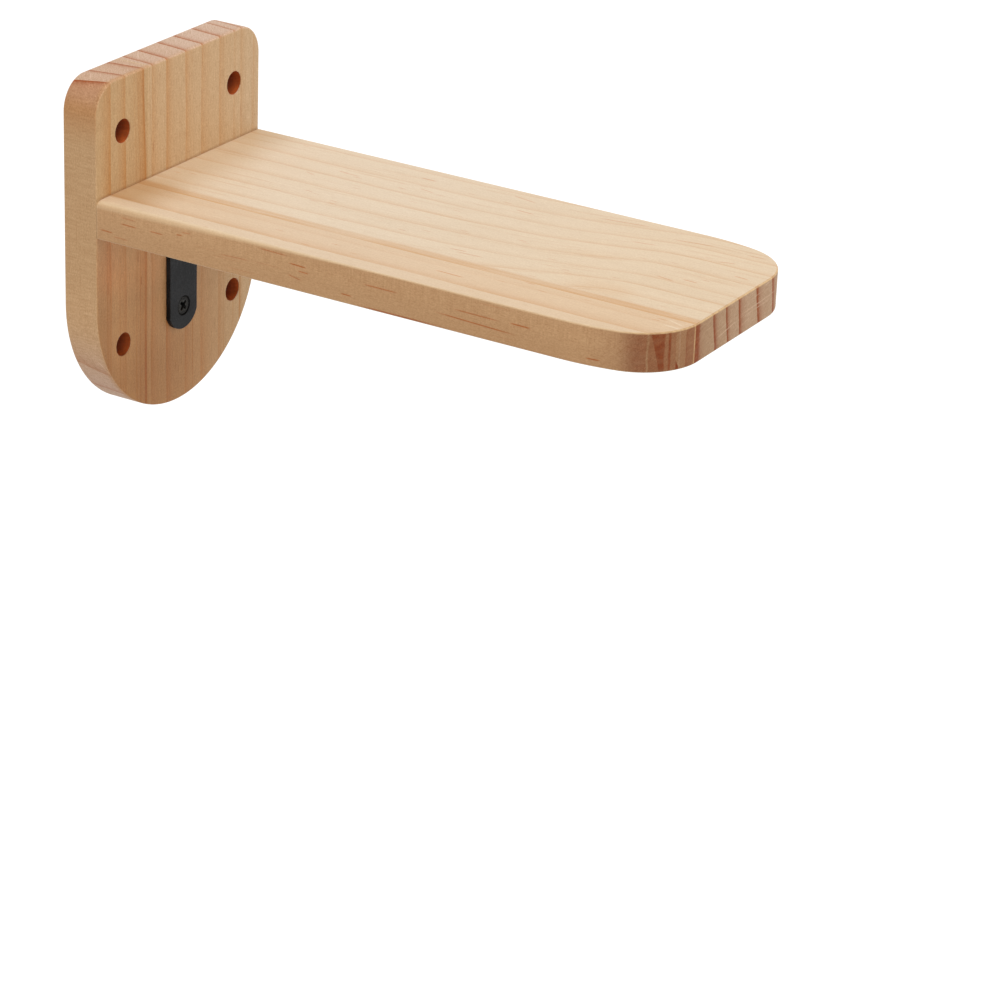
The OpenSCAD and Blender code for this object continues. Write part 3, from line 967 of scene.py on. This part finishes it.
# A long arc leads from each side into the front corner: how far before it, and how far in from the side
CORNER_LEAD_L = 18
CORNER_LEAD_IN = 2
BOARD_EDGE_R = 0.8
# The board's left top edge is rounded more at the plate, and this fades out along the edge
ROUND_OVER_R = 3.4
ROUND_OVER_FADE = 150
ROUND_OVER_STEP = 5
# Small chamfer at the board's butt end, which shows as the joint line
END_EASE = 0.05
HOLE_EASE = 0.35
# How much a slab's low edges are pale, against its high edges: rubbed on the bracket, rubbed and with painted
# highlight on the wood
LOW_EDGE_RUB = 0.4
EDGE_STEPS = 5
ARC_STEPS = 28
LEAD_STEPS = 12
HOLE_STEPS = 56

# Bracket
BRACKET_T = 2.5
BEND_R = 2
TIP_EXTRA = 0.75
BRACKET_EDGE_R = 0.4
BEND_STEPS = 10
TIP_STEPS = 24

# Screws: thread diameter, plain shank as a share of the length, thread pitch, point length, material slot
Screw = namedtuple("Screw", "thread_d plain_share pitch point slot")
BRACKET_SCREW = Screw(4.0, 0.0, 1.8, 4.4, "black_screw")
JOINT_SCREW = Screw(4.5, 0.4, 2.0, 5.0, "zinc_screw")
# The way a screw's head faces: the axis it lies along, whether the head is at its high end, its turn about X
Facing = namedtuple("Facing", "axis head_high turn")
FORWARD = Facing(Y, False, 90)
BACKWARD = Facing(Y, True, -90)
DOWNWARD = Facing(Z, False, 180)
CORE_SHARE = 0.68
# Half the width of a thread's ridge as a share of the pitch
RIDGE_HALF = 0.32
HEAD_RIM = 0.2
HEAD_EASE = 0.15
# Rubbed shares of the head's top, of its rim and of the recess's lip, from the inside out
TOP_RUB, RIM_RUB = 0.3, 1.0
LIP_RUBS = (0.3, 0.8)
SEAT_PLAY = 0.05
SHANK_PLAY = 0.2
THREAD_PLAY = 0.05
PILOT_SPARE = 1.0
SCREW_STEPS = 40
ROWS_PER_TURN = 8
SCREW_HOLE_STEPS = 32
# Cross recess: wing length and half width at the mouth as shares of the head's diameter, depth likewise
RECESS_WING_SHARE = 0.33
RECESS_HALF_SHARE = 0.092
RECESS_DEPTH_SHARE = 0.27
RECESS_TURN = 45
# Its floor's wings and half width, against those at the mouth
FLOOR_WING_SHARE = 0.45
FLOOR_HALF_SHARE = 0.6
# Rounding of a wing: its tip's bulge and half width, where its sides begin, and the corner between wings
WING_BULGE = 1.05
WING_TIP_HALF = 0.75
WING_SIDE = 0.85
INNER_START = 1.9
INNER_MIDDLE = 1.2


class Shell:
    """A closed mesh collected ring by ring, with a material slot per face and an edge share per point."""

    def __init__(self):
        self.points = []
        self.edges = []
        self.faces = []
        self.zones = []

    def point(self, place, edge=0.0):
        self.points.append(Vector(place))
        self.edges.append(edge)
        return len(self.points) - 1

    def face(self, corners, zone=OUTSIDE):
        self.faces.append(corners)
        self.zones.append(zone)

    def strip(self, a, b, zone=OUTSIDE, closed=True):
        """Quads between two rings of as many points."""
        for i in range(len(a) if closed else len(a) - 1):
            j = (i + 1) % len(a)
            self.face((a[i], a[j], b[j], b[i]), zone)

    def skin(self, rings, closed=True):
        """Strips between rings that follow each other."""
        for a, b in zip(rings, rings[1:]):
            self.strip(a, b, closed=closed)

    def cap(self, loops, zone=OUTSIDE):
        """A flat face inside the first loop, with the other loops as holes."""
        corners = [i for loop in loops for i in loop]
        for triangle in tessellate_polygon([[self.points[i] for i in loop] for loop in loops]):
            self.face([corners[i] for i in triangle], zone)

    def cone(self, ring, tip):
        for i in range(len(ring)):
            self.face((ring[i], ring[(i + 1) % len(ring)], tip))

    def build(self, name, materials, matrix=Matrix.Identity(4)):
        """The finished object in metres, with smooth shading that keeps flat faces flat."""
        mesh = bpy.data.meshes.new(name)
        mesh.from_pydata([p * MM for p in self.points], [], self.faces)
        for material in materials:
            mesh.materials.append(material)
        mesh.polygons.foreach_set("material_index", self.zones)
        mesh.attributes.new(EDGE, "FLOAT", "POINT").data.foreach_set("value", self.edges)
        bm = bmesh.new()
        bm.from_mesh(mesh)
        bmesh.ops.recalc_face_normals(bm, faces=bm.faces)
        bm.to_mesh(mesh)
        bm.free()
        mesh.shade_smooth()
        mesh.set_sharp_from_angle(angle=math.radians(SHARP_ANGLE))
        piece = add_object(name, mesh)
        piece.matrix_world = matrix
        weighted_normals = piece.modifiers.new("weighted_normals", "WEIGHTED_NORMAL")
        weighted_normals.keep_sharp = True
        return piece


class Lie:
    """How a flat panel lies: the two axes of its plane, and the axis that its levels run along."""

    def __init__(self, u, v, level):
        self.u = u
        self.v = v
        self.level = level

    def place(self, point, level):
        """A point of the plane at a level, in space."""
        found = Vector((0, 0, 0))
        found[self.u], found[self.v] = point
        found[self.level] = level
        return found

    def middle(self, node):
        """A node's middle in the plane."""
        low, high = box_mm(node)
        middle = (low + high) / 2
        return Vector((middle[self.u], middle[self.v]))


UPRIGHT = Lie(X, Z, Y)
LYING = Lie(X, Y, Z)


def arc(centre, radius, start, end, steps):
    """Stations on an arc, as (point, outward normal), by angles in degrees."""
    stations = []
    for i in range(steps + 1):
        angle = math.radians(start + (end - start) * i / steps)
        normal = Vector((math.cos(angle), math.sin(angle)))
        stations.append((Vector(centre) + radius * normal, normal))
    return stations


def circle(centre, radius, steps):
    """Points of a full circle in a plane."""
    return [point for point, _ in arc(centre, radius, 0, 360 * (1 - 1 / steps), steps - 1)]


# A row of a rounded edge: inset and level, share of eased edge, and the way it faces, outward and up
EdgeRow = namedtuple("EdgeRow", "inset level edge outward upward")


def edge_rows(low, high, low_r, high_r):
    """A rounded edge from the low face to the high one."""
    rows = []
    low_rub = LOW_EDGE_RUB * min(1.0, BOARD_EDGE_R / low_r)
    quarter = [math.pi / 2 * i / EDGE_STEPS for i in range(EDGE_STEPS + 1)]
    for way, face, radius, rub in ((-1, low, low_r, low_rub), (1, high, high_r, 1.0)):
        for a in quarter[::way]:
            outward, upward = math.cos(a), math.sin(a)
            inset, level = radius * (1 - outward), face - way * radius * (1 - upward)
            rows.append(EdgeRow(inset, level, rub * math.sin(2 * a), outward, way * upward))
    return rows


def rim(shell, stations, place, low, high, radii, closed=True):
    """The rounded rim of a slab as rings from its low face to its high face."""
    profiles = [edge_rows(low, high, *radii(point)) for point, _ in stations]
    rings = []
    for rows in zip(*profiles):
        ring = []
        for (point, normal), row in zip(stations, rows):
            ring.append(shell.point(place(point - row.inset * normal, row.level), row.edge))
        rings.append(ring)
    shell.skin(rings, closed)
    return rings


def bore(shell, centre, place, profile, zones, steps=SCREW_HOLE_STEPS):
    """A round hole through rings at (radius, level); returns its first and last ring."""
    rings = []
    for radius, level in profile:
        rings.append([shell.point(place(p, level)) for p in circle(centre, radius, steps)])
    for a, b, zone in zip(rings, rings[1:], zones):
        shell.strip(a, b, zone)
    return rings[0], rings[-1]


def thread_hole(shell, lie, node, screw, face):
    """A blind hole for a screw's thread, from a panel's face inwards; returns its ring in the face."""
    low, high = [corner[lie.level] for corner in box_mm(node)]
    bottom = high + PILOT_SPARE if face < (low + high) / 2 else low - PILOT_SPARE
    radius = screw.thread_d / 2 + THREAD_PLAY
    first, last = bore(shell, lie.middle(node), lie.place, [(radius, face), (radius, bottom)], [INSIDE])
    shell.cap([last], INSIDE)
    return first


def countersink(node, screw, axis, face):
    """Clearance radius and seat depth of a countersunk hole with its mouth in a face."""
    low, high = box_mm(node)
    sink = min(abs(face - low[axis]), abs(face - high[axis]))
    clear_r = screw.thread_d / 2 + SHANK_PLAY
    return clear_r, sink + HEAD_RIM + SEAT_PLAY + (high.x - low.x) / 2 - clear_r


def wall_holes():
    """Centres and radius of the four wall holes, from the record's mount."""
    mount = next(m for m in frame["record"]["mounts"] if m["name"] == "wall_holes")
    dims = mount["dims"]
    middle = Vector(mount["pos_m"]) / MM
    half_x, half_z = dims["spacing_x_mm"] / 2, dims["spacing_y_mm"] / 2
    centres = [Vector((middle.x + i * half_x, middle.z + j * half_z)) for i in (-1, 1) for j in (-1, 1)]
    return centres, dims["hole_r_mm"]


def back_plate(wood, drilled):
    shell = Shell()
    front, back = PLATE_LOW.y, PLATE_HIGH.y
    half = PLATE_W / 2
    corner_z = PLATE_HIGH.z - PLATE_CORNER_R
    stations = arc((0, PLATE_LOW.z + half), half, 180, 360, 2 * ARC_STEPS)
    stations += arc((half - PLATE_CORNER_R, corner_z), PLATE_CORNER_R, 0, 90, ARC_STEPS // 2)
    stations += arc((PLATE_CORNER_R - half, corner_z), PLATE_CORNER_R, 90, 180, ARC_STEPS // 2)

    def radii(point):
        on_top = max(0.0, (point.y - corner_z) / PLATE_CORNER_R)
        return PLATE_EDGE_R + on_top * (PLATE_TOP_EDGE_R - PLATE_EDGE_R), PLATE_EDGE_R

    rings = rim(shell, stations, UPRIGHT.place, front, back, radii)
    front_loops, back_loops = [rings[0]], [rings[-1]]

    # Wall holes with eased mouths
    eased = []
    for a in (0, math.pi / 4, math.pi / 2):
        eased.append((HOLE_EASE * (1 - math.sin(a)), HOLE_EASE * (1 - math.cos(a))))
    zones = (OUTSIDE, OUTSIDE, INSIDE, OUTSIDE, OUTSIDE)
    centres, radius = wall_holes()
    profile = [(radius + wide, front + deep) for wide, deep in eased]
    profile += [(radius + wide, back - deep) for wide, deep in reversed(eased)]
    for centre in centres:
        first, last = bore(shell, centre, UPRIGHT.place, profile, zones, HOLE_STEPS)
        front_loops.append(first)
        back_loops.append(last)

    for node in PLATE_SCREWS:
        front_loops.append(thread_hole(shell, UPRIGHT, node, BRACKET_SCREW, front))
    for node in JOINT_SCREWS:
        clear_r, seat = countersink(node, JOINT_SCREW, Y, back)
        profile = [(clear_r + seat, back), (clear_r, back - seat), (clear_r, front)]
        first, last = bore(shell, UPRIGHT.middle(node), UPRIGHT.place, profile, (OUTSIDE, INSIDE))
        back_loops.append(first)
        front_loops.append(last)
    shell.cap(front_loops)
    shell.cap(back_loops)
    return shell.build("plate_panel", [wood, drilled])


def board_stations(start):
    """The board's outline from its left side at the plate, round both front corners, to its right side."""
    left, right, tip = BOARD_LOW.x, BOARD_HIGH.x, BOARD_LOW.y
    lead_extra_r = (CORNER_LEAD_L ** 2 + CORNER_LEAD_IN ** 2) / (2 * CORNER_LEAD_IN)
    lead_r = BOARD_CORNER_R + lead_extra_r
    lead_turn = math.degrees(math.atan2(CORNER_LEAD_L, lead_extra_r - CORNER_LEAD_IN))
    inset = CORNER_LEAD_IN + BOARD_CORNER_R
    corner_y = tip + BOARD_CORNER_R
    lead_y = corner_y + CORNER_LEAD_L
    stations = []
    for i in range(ROUND_OVER_FADE // ROUND_OVER_STEP + 1):
        stations.append((Vector((left, start - i * ROUND_OVER_STEP)), Vector((-1, 0))))
    stations += arc((left + lead_r, lead_y), lead_r, 180, 180 + lead_turn, LEAD_STEPS)
    stations += arc((left + inset, corner_y), BOARD_CORNER_R, 180 + lead_turn, 270, ARC_STEPS)[1:]
    stations += arc((right - inset, corner_y), BOARD_CORNER_R, 270, 360 - lead_turn, ARC_STEPS)
    stations += arc((right - lead_r, lead_y), lead_r, 360 - lead_turn, 360, LEAD_STEPS)[1:]
    stations.append((Vector((right, start)), Vector((1, 0))))
    return stations


def step_board(wood, drilled):
    shell = Shell()
    bottom, top = BOARD_LOW.z, BOARD_HIGH.z
    butt = BOARD_HIGH.y
    start = butt - END_EASE

    def radii(point):
        gone = min(1.0, (start - point.y) / ROUND_OVER_FADE)
        fading = 1 - gone * gone * (3 - 2 * gone)
        on_left = point.x < 0
        return BOARD_EDGE_R, BOARD_EDGE_R + on_left * fading * (ROUND_OVER_R - BOARD_EDGE_R)

    rings = rim(shell, board_stations(start), LYING.place, bottom, top, radii, closed=False)

    # The butt end against the plate, chamfered all round
    section = [ring[0] for ring in rings] + [ring[-1] for ring in reversed(rings)]
    left_rows, right_rows = [
        [(side, row) for row in edge_rows(bottom, top, *radii(Vector((side, start))))] for side in (-1, 1)]
    butt_ring = []
    for i, (side, row) in zip(section, left_rows + right_rows[::-1]):
        place = shell.points[i] - END_EASE * Vector((side * row.outward, 0, row.upward))
        butt_ring.append(shell.point((place.x, butt, place.z)))
    shell.strip(section, butt_ring)

    butt_loops, bottom_loops = [butt_ring], [rings[0]]
    for node in JOINT_SCREWS:
        butt_loops.append(thread_hole(shell, UPRIGHT, node, JOINT_SCREW, butt))
    for node in BOARD_SCREWS:
        bottom_loops.append(thread_hole(shell, LYING, node, BRACKET_SCREW, bottom))
    shell.cap(butt_loops)
    shell.cap(bottom_loops)
    shell.cap([rings[-1]])
    return shell.build("board_panel", [wood, drilled])


def angle_bracket(coat, seat_shading):
    """The bar as a flat blank, bent in its middle. v runs along it from the plate leg's tip."""
    shell = Shell()
    half_w = (BRACKET_HIGH.x - BRACKET_LOW.x) / 2
    tip_r = half_w + TIP_EXTRA
    bend_outer = BEND_R + BRACKET_T
    corner_y, corner_z = BRACKET_HIGH.y, BRACKET_HIGH.z
    bend_y, bend_z = corner_y - bend_outer, corner_z - bend_outer
    half_bend = math.pi / 4 * (bend_outer - BRACKET_T / 2)
    legs = {-1: bend_z - BRACKET_LOW.z, 1: bend_y - BRACKET_LOW.y}

    def bent(point, level):
        u, v = point
        if v < -half_bend:
            return Vector((u, corner_y - level, bend_z + v + half_bend))
        if v > half_bend:
            return Vector((u, bend_y - v + half_bend, corner_z - level))
        angle = math.pi / 4 * (1 + v / half_bend)
        reach = bend_outer - level
        return Vector((u, bend_y + reach * math.cos(angle), bend_z + reach * math.sin(angle)))

    def bend_side(side):
        places = [half_bend * (2 * i / BEND_STEPS - 1) for i in range(BEND_STEPS + 1)]
        return [(Vector((side * half_w, side * v)), Vector((side, 0))) for v in places]

    def tip(way):
        """Round end of a leg: an arc about the end screw that meets the bar's sides at a slight corner."""
        middle_v = way * (half_bend + legs[way] - tip_r)
        meets = math.degrees(math.acos(half_w / tip_r))
        turn = 0 if way > 0 else 180
        stations = arc((0, middle_v), tip_r, turn + meets, turn + 180 - meets, TIP_STEPS)
        for i, side in ((0, way), (-1, -way)):
            point, normal = stations[i]
            mitre = (normal + Vector((side, 0))) / (1 + normal.x * side)
            stations[i] = (point, mitre)
        return stations

    board_tip = tip(1)
    stations = bend_side(1) + board_tip + bend_side(-1) + tip(-1)
    rings = rim(shell, stations, bent, 0, BRACKET_T, lambda point: (BRACKET_EDGE_R, BRACKET_EDGE_R))

    holes = {-1: [], 1: []}
    for way, nodes, axis in ((-1, PLATE_SCREWS, Y), (1, BOARD_SCREWS, Z)):
        for node in nodes:
            low, high = box_mm(node)
            middle = (low + high) / 2
            v = half_bend + bend_y - middle.y if way > 0 else middle.z - bend_z - half_bend
            clear_r, seat = countersink(node, BRACKET_SCREW, axis, BRACKET_HIGH[axis] - BRACKET_T)
            mouth_r = clear_r + seat
            profile = [
                (clear_r, 0), (clear_r, BRACKET_T - seat), (mouth_r - HEAD_EASE, BRACKET_T - HEAD_EASE),
                (mouth_r + HEAD_EASE / 2, BRACKET_T)]
            holes[way].append(bore(shell, Vector((0, v)), bent, profile, (INSIDE, INSIDE, INSIDE)))

    # Both faces: the two flat legs, and the bend between them
    count = BEND_STEPS + 1
    left_start = count + len(board_tip)
    for which, ring in enumerate((rings[0], rings[-1])):
        shell.cap([ring[count - 1:left_start + 1]] + [hole[which] for hole in holes[1]])
        shell.cap([ring[left_start + count - 1:] + ring[:1]] + [hole[which] for hole in holes[-1]])
        for i in range(BEND_STEPS):
            j = left_start + count - 1 - i
            shell.face((ring[i], ring[i + 1], ring[j - 1], ring[j]))
    return shell.build("bracket_bar", [coat, seat_shading])


def cross_outline(wing, half):
    """Outline of a cross recess with rounded wing ends and inner corners."""
    wing_points = [
        (wing, -WING_TIP_HALF * half), (WING_BULGE * wing, 0), (wing, WING_TIP_HALF * half),
        (WING_SIDE * wing, half), (INNER_START * half, half), (INNER_MIDDLE * half, INNER_MIDDLE * half),
        (half, INNER_START * half), (half, WING_SIDE * wing)]
    points = []
    for quarter in range(4):
        turned = Matrix.Rotation(math.radians(RECESS_TURN + 90 * quarter), 2)
        points += [turned @ Vector(p) for p in wing_points]
    return points


def wood_screw(node, screw, facing, steel):
    """A countersunk wood screw along its own -Z, with a cross recess and a wound thread."""
    low, high = box_mm(node)
    head_r = (high.x - low.x) / 2
    length = high[facing.axis] - low[facing.axis]
    shell = Shell()

    def ring(radius_at, z, edge=0.0):
        angles = [2 * math.pi * i / SCREW_STEPS for i in range(SCREW_STEPS)]
        places = [(radius_at(a) * math.cos(a), radius_at(a) * math.sin(a), z) for a in angles]
        return [shell.point(place, edge) for place in places]

    # Recess, from its floor up to its lip
    wing, half = RECESS_WING_SHARE * 2 * head_r, RECESS_HALF_SHARE * 2 * head_r
    depth = RECESS_DEPTH_SHARE * 2 * head_r
    lip = HEAD_EASE / 2
    outlines = [
        (cross_outline(FLOOR_WING_SHARE * wing, FLOOR_HALF_SHARE * half), -depth, 0.0),
        (cross_outline(wing - lip, half), -lip, LIP_RUBS[0]),
        (cross_outline(wing, half + lip), 0.0, LIP_RUBS[1])]
    recess = [[shell.point((p.x, p.y, z), edge) for p in outline] for outline, z, edge in outlines]
    shell.cap([recess[0]])
    shell.skin(recess)

    # Head
    thread_r = screw.thread_d / 2
    neck_z = -HEAD_RIM - (head_r - thread_r)
    top = ring(lambda a: head_r - HEAD_EASE, 0.0, TOP_RUB)
    shell.cap([top, recess[-1]])
    rows = [top, ring(lambda a: head_r, -HEAD_EASE, RIM_RUB), ring(lambda a: head_r, -HEAD_RIM)]
    rows.append(ring(lambda a: thread_r, neck_z))

    # Shank and thread: one row every fraction of a turn
    core_r = CORE_SHARE * thread_r
    thread_top = min(neck_z, -length * screw.plain_share)
    if thread_top < neck_z:
        rows.append(ring(lambda a: thread_r, thread_top))
    count = int(ROWS_PER_TURN * (thread_top + length) / screw.pitch)
    for i in range(1, count):
        z = thread_top - i * screw.pitch / ROWS_PER_TURN
        taper = min(1.0, (z + length) / screw.point)
        root = thread_r + (core_r - thread_r) * min(1.0, i / ROWS_PER_TURN)

        def radius_at(a, z=z, taper=taper, root=root):
            phase = ((thread_top - z) / screw.pitch + a / (2 * math.pi)) % 1.0
            ridge = max(0.0, 1 - abs(phase - 1 / 2) / RIDGE_HALF)
            return (root + (thread_r - root) * ridge) * taper

        rows.append(ring(radius_at, z))
    shell.skin(rows)
    shell.cone(rows[-1], shell.point((0, 0, -length)))

    place = (low + high) / 2
    place[facing.axis] = (high if facing.head_high else low)[facing.axis]
    turn = Matrix.Rotation(math.radians(facing.turn), 4, "X")
    return shell.build("turned_" + node, [steel], Matrix.Translation(place * MM) @ turn)


def stand_for(piece, node):
    """Shows piece in place of a CAD node."""
    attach(piece, "root")
    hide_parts(node)


drilled = bore_wood()
stand_for(back_plate(pine("pine_plate", PLATE_PINE), drilled), "back_plate")
stand_for(step_board(pine("pine_board", BOARD_PINE), drilled), "step_board")
stand_for(angle_bracket(powder_coat(), seat_shade()), "angle_bracket")
steels = {"black_screw": black_oxide(), "zinc_screw": zinc_plate()}
screw_rows = (
    (PLATE_SCREWS, BRACKET_SCREW, FORWARD), (BOARD_SCREWS, BRACKET_SCREW, DOWNWARD),
    (JOINT_SCREWS, JOINT_SCREW, BACKWARD))
for nodes, screw, facing in screw_rows:
    for node in nodes:
        stand_for(wood_screw(node, screw, facing, steels[screw.slot]), node)


# Studio, in metres

FLOOR_Z = -2.5
FLOOR_HALF = 12
FLOOR_GRAIN = even_noise(0.003, 3, 0.5)
FLOOR_GREYS = (0.59, 0.61)
FLOOR_ROUGHNESS = 0.9
FLOOR_GLOW = 0.5
SKY_LEVEL = 0.55
KEY_LEVEL, KEY_SPREAD, KEY_FROM = 0.5, 70, Vector((0.05, -0.55, 1.0))
FILL_LEVEL, FILL_SPREAD, FILL_FROM = 0.2, 120, Vector((-0.75, -0.65, 0.05))
# The photograph's viewpoint
CAMERA_PLACE = Vector((-1.27561, -0.92894, 0.57027))
CAMERA_AIM = Vector((0.78782, 0.45984, -0.40974))
CAMERA_ROLL = 2.28
CAMERA_LENS = 136.95
SENSOR_WIDTH = 36


def seen_directly(tree):
    """1 for rays that show the background: camera, glossy and transmission rays."""
    path = tree.add("ShaderNodeLightPath").outputs
    kinds = ("Is Camera Ray", "Is Glossy Ray", "Is Transmission Ray")
    camera, glossy, transmission = [Value(tree, path[kind]) for kind in kinds]
    return camera.most(glossy).most(transmission)


def white_world():
    world = bpy.data.worlds.new("studio")
    bpy.context.scene.world = world
    tree = Tree(world)
    strength = seen_directly(tree).line(0, 1, SKY_LEVEL, 1.0)
    sky = tree.value("ShaderNodeBackground", {"Color": WHITE, "Strength": strength})
    tree.add("ShaderNodeOutputWorld", {"Surface": sky})


def pale_floor():
    """A pale matt floor that looks white where nothing shades it and keeps the shadow."""
    material, tree = new_material("floor")
    tone = grains(FLOOR_GRAIN, *tree.position()).line(*WIDE_SPAN, *FLOOR_GREYS)
    tree.surface(
        vector(tone, tone, tone), FLOOR_ROUGHNESS, Specular_IOR_Level=0.0,
        Emission_Color=WHITE, Emission_Strength=seen_directly(tree) * FLOOR_GLOW)
    mesh = bpy.data.meshes.new("floor")
    corners = [(x * FLOOR_HALF, y * FLOOR_HALF, FLOOR_Z) for x, y in ((-1, -1), (1, -1), (1, 1), (-1, 1))]
    mesh.from_pydata(corners, [], [range(len(corners))])
    mesh.materials.append(material)
    floor = add_object("floor", mesh)


def aim(thing, way, roll=0):
    """Points a light or the camera one way, rolled by degrees."""
    thing.rotation_mode = "QUATERNION"
    turn = Quaternion((0, 0, 1), math.radians(roll))
    thing.rotation_quaternion = way.to_track_quat("-Z", "Y") @ turn


def soft_sun(name, level, spread, comes_from):
    """A wide, soft light from one side; a white surface facing it alone would show the level."""
    light = bpy.data.lights.new(name, "SUN")
    light.energy = level * math.pi
    light.angle = math.radians(spread)
    aim(add_object(name, light), -comes_from)


def photo_camera():
    data = bpy.data.cameras.new("camera")
    data.lens = CAMERA_LENS
    data.sensor_width = SENSOR_WIDTH
    camera = add_object("camera", data)
    camera.location = CAMERA_PLACE
    aim(camera, CAMERA_AIM, CAMERA_ROLL)
    bpy.context.scene.camera = camera


white_world()
pale_floor()
soft_sun("key_light", KEY_LEVEL, KEY_SPREAD, KEY_FROM)
soft_sun("fill_light", FILL_LEVEL, FILL_SPREAD, FILL_FROM)
photo_camera()
bpy.context.scene.view_settings.view_transform = "Standard"
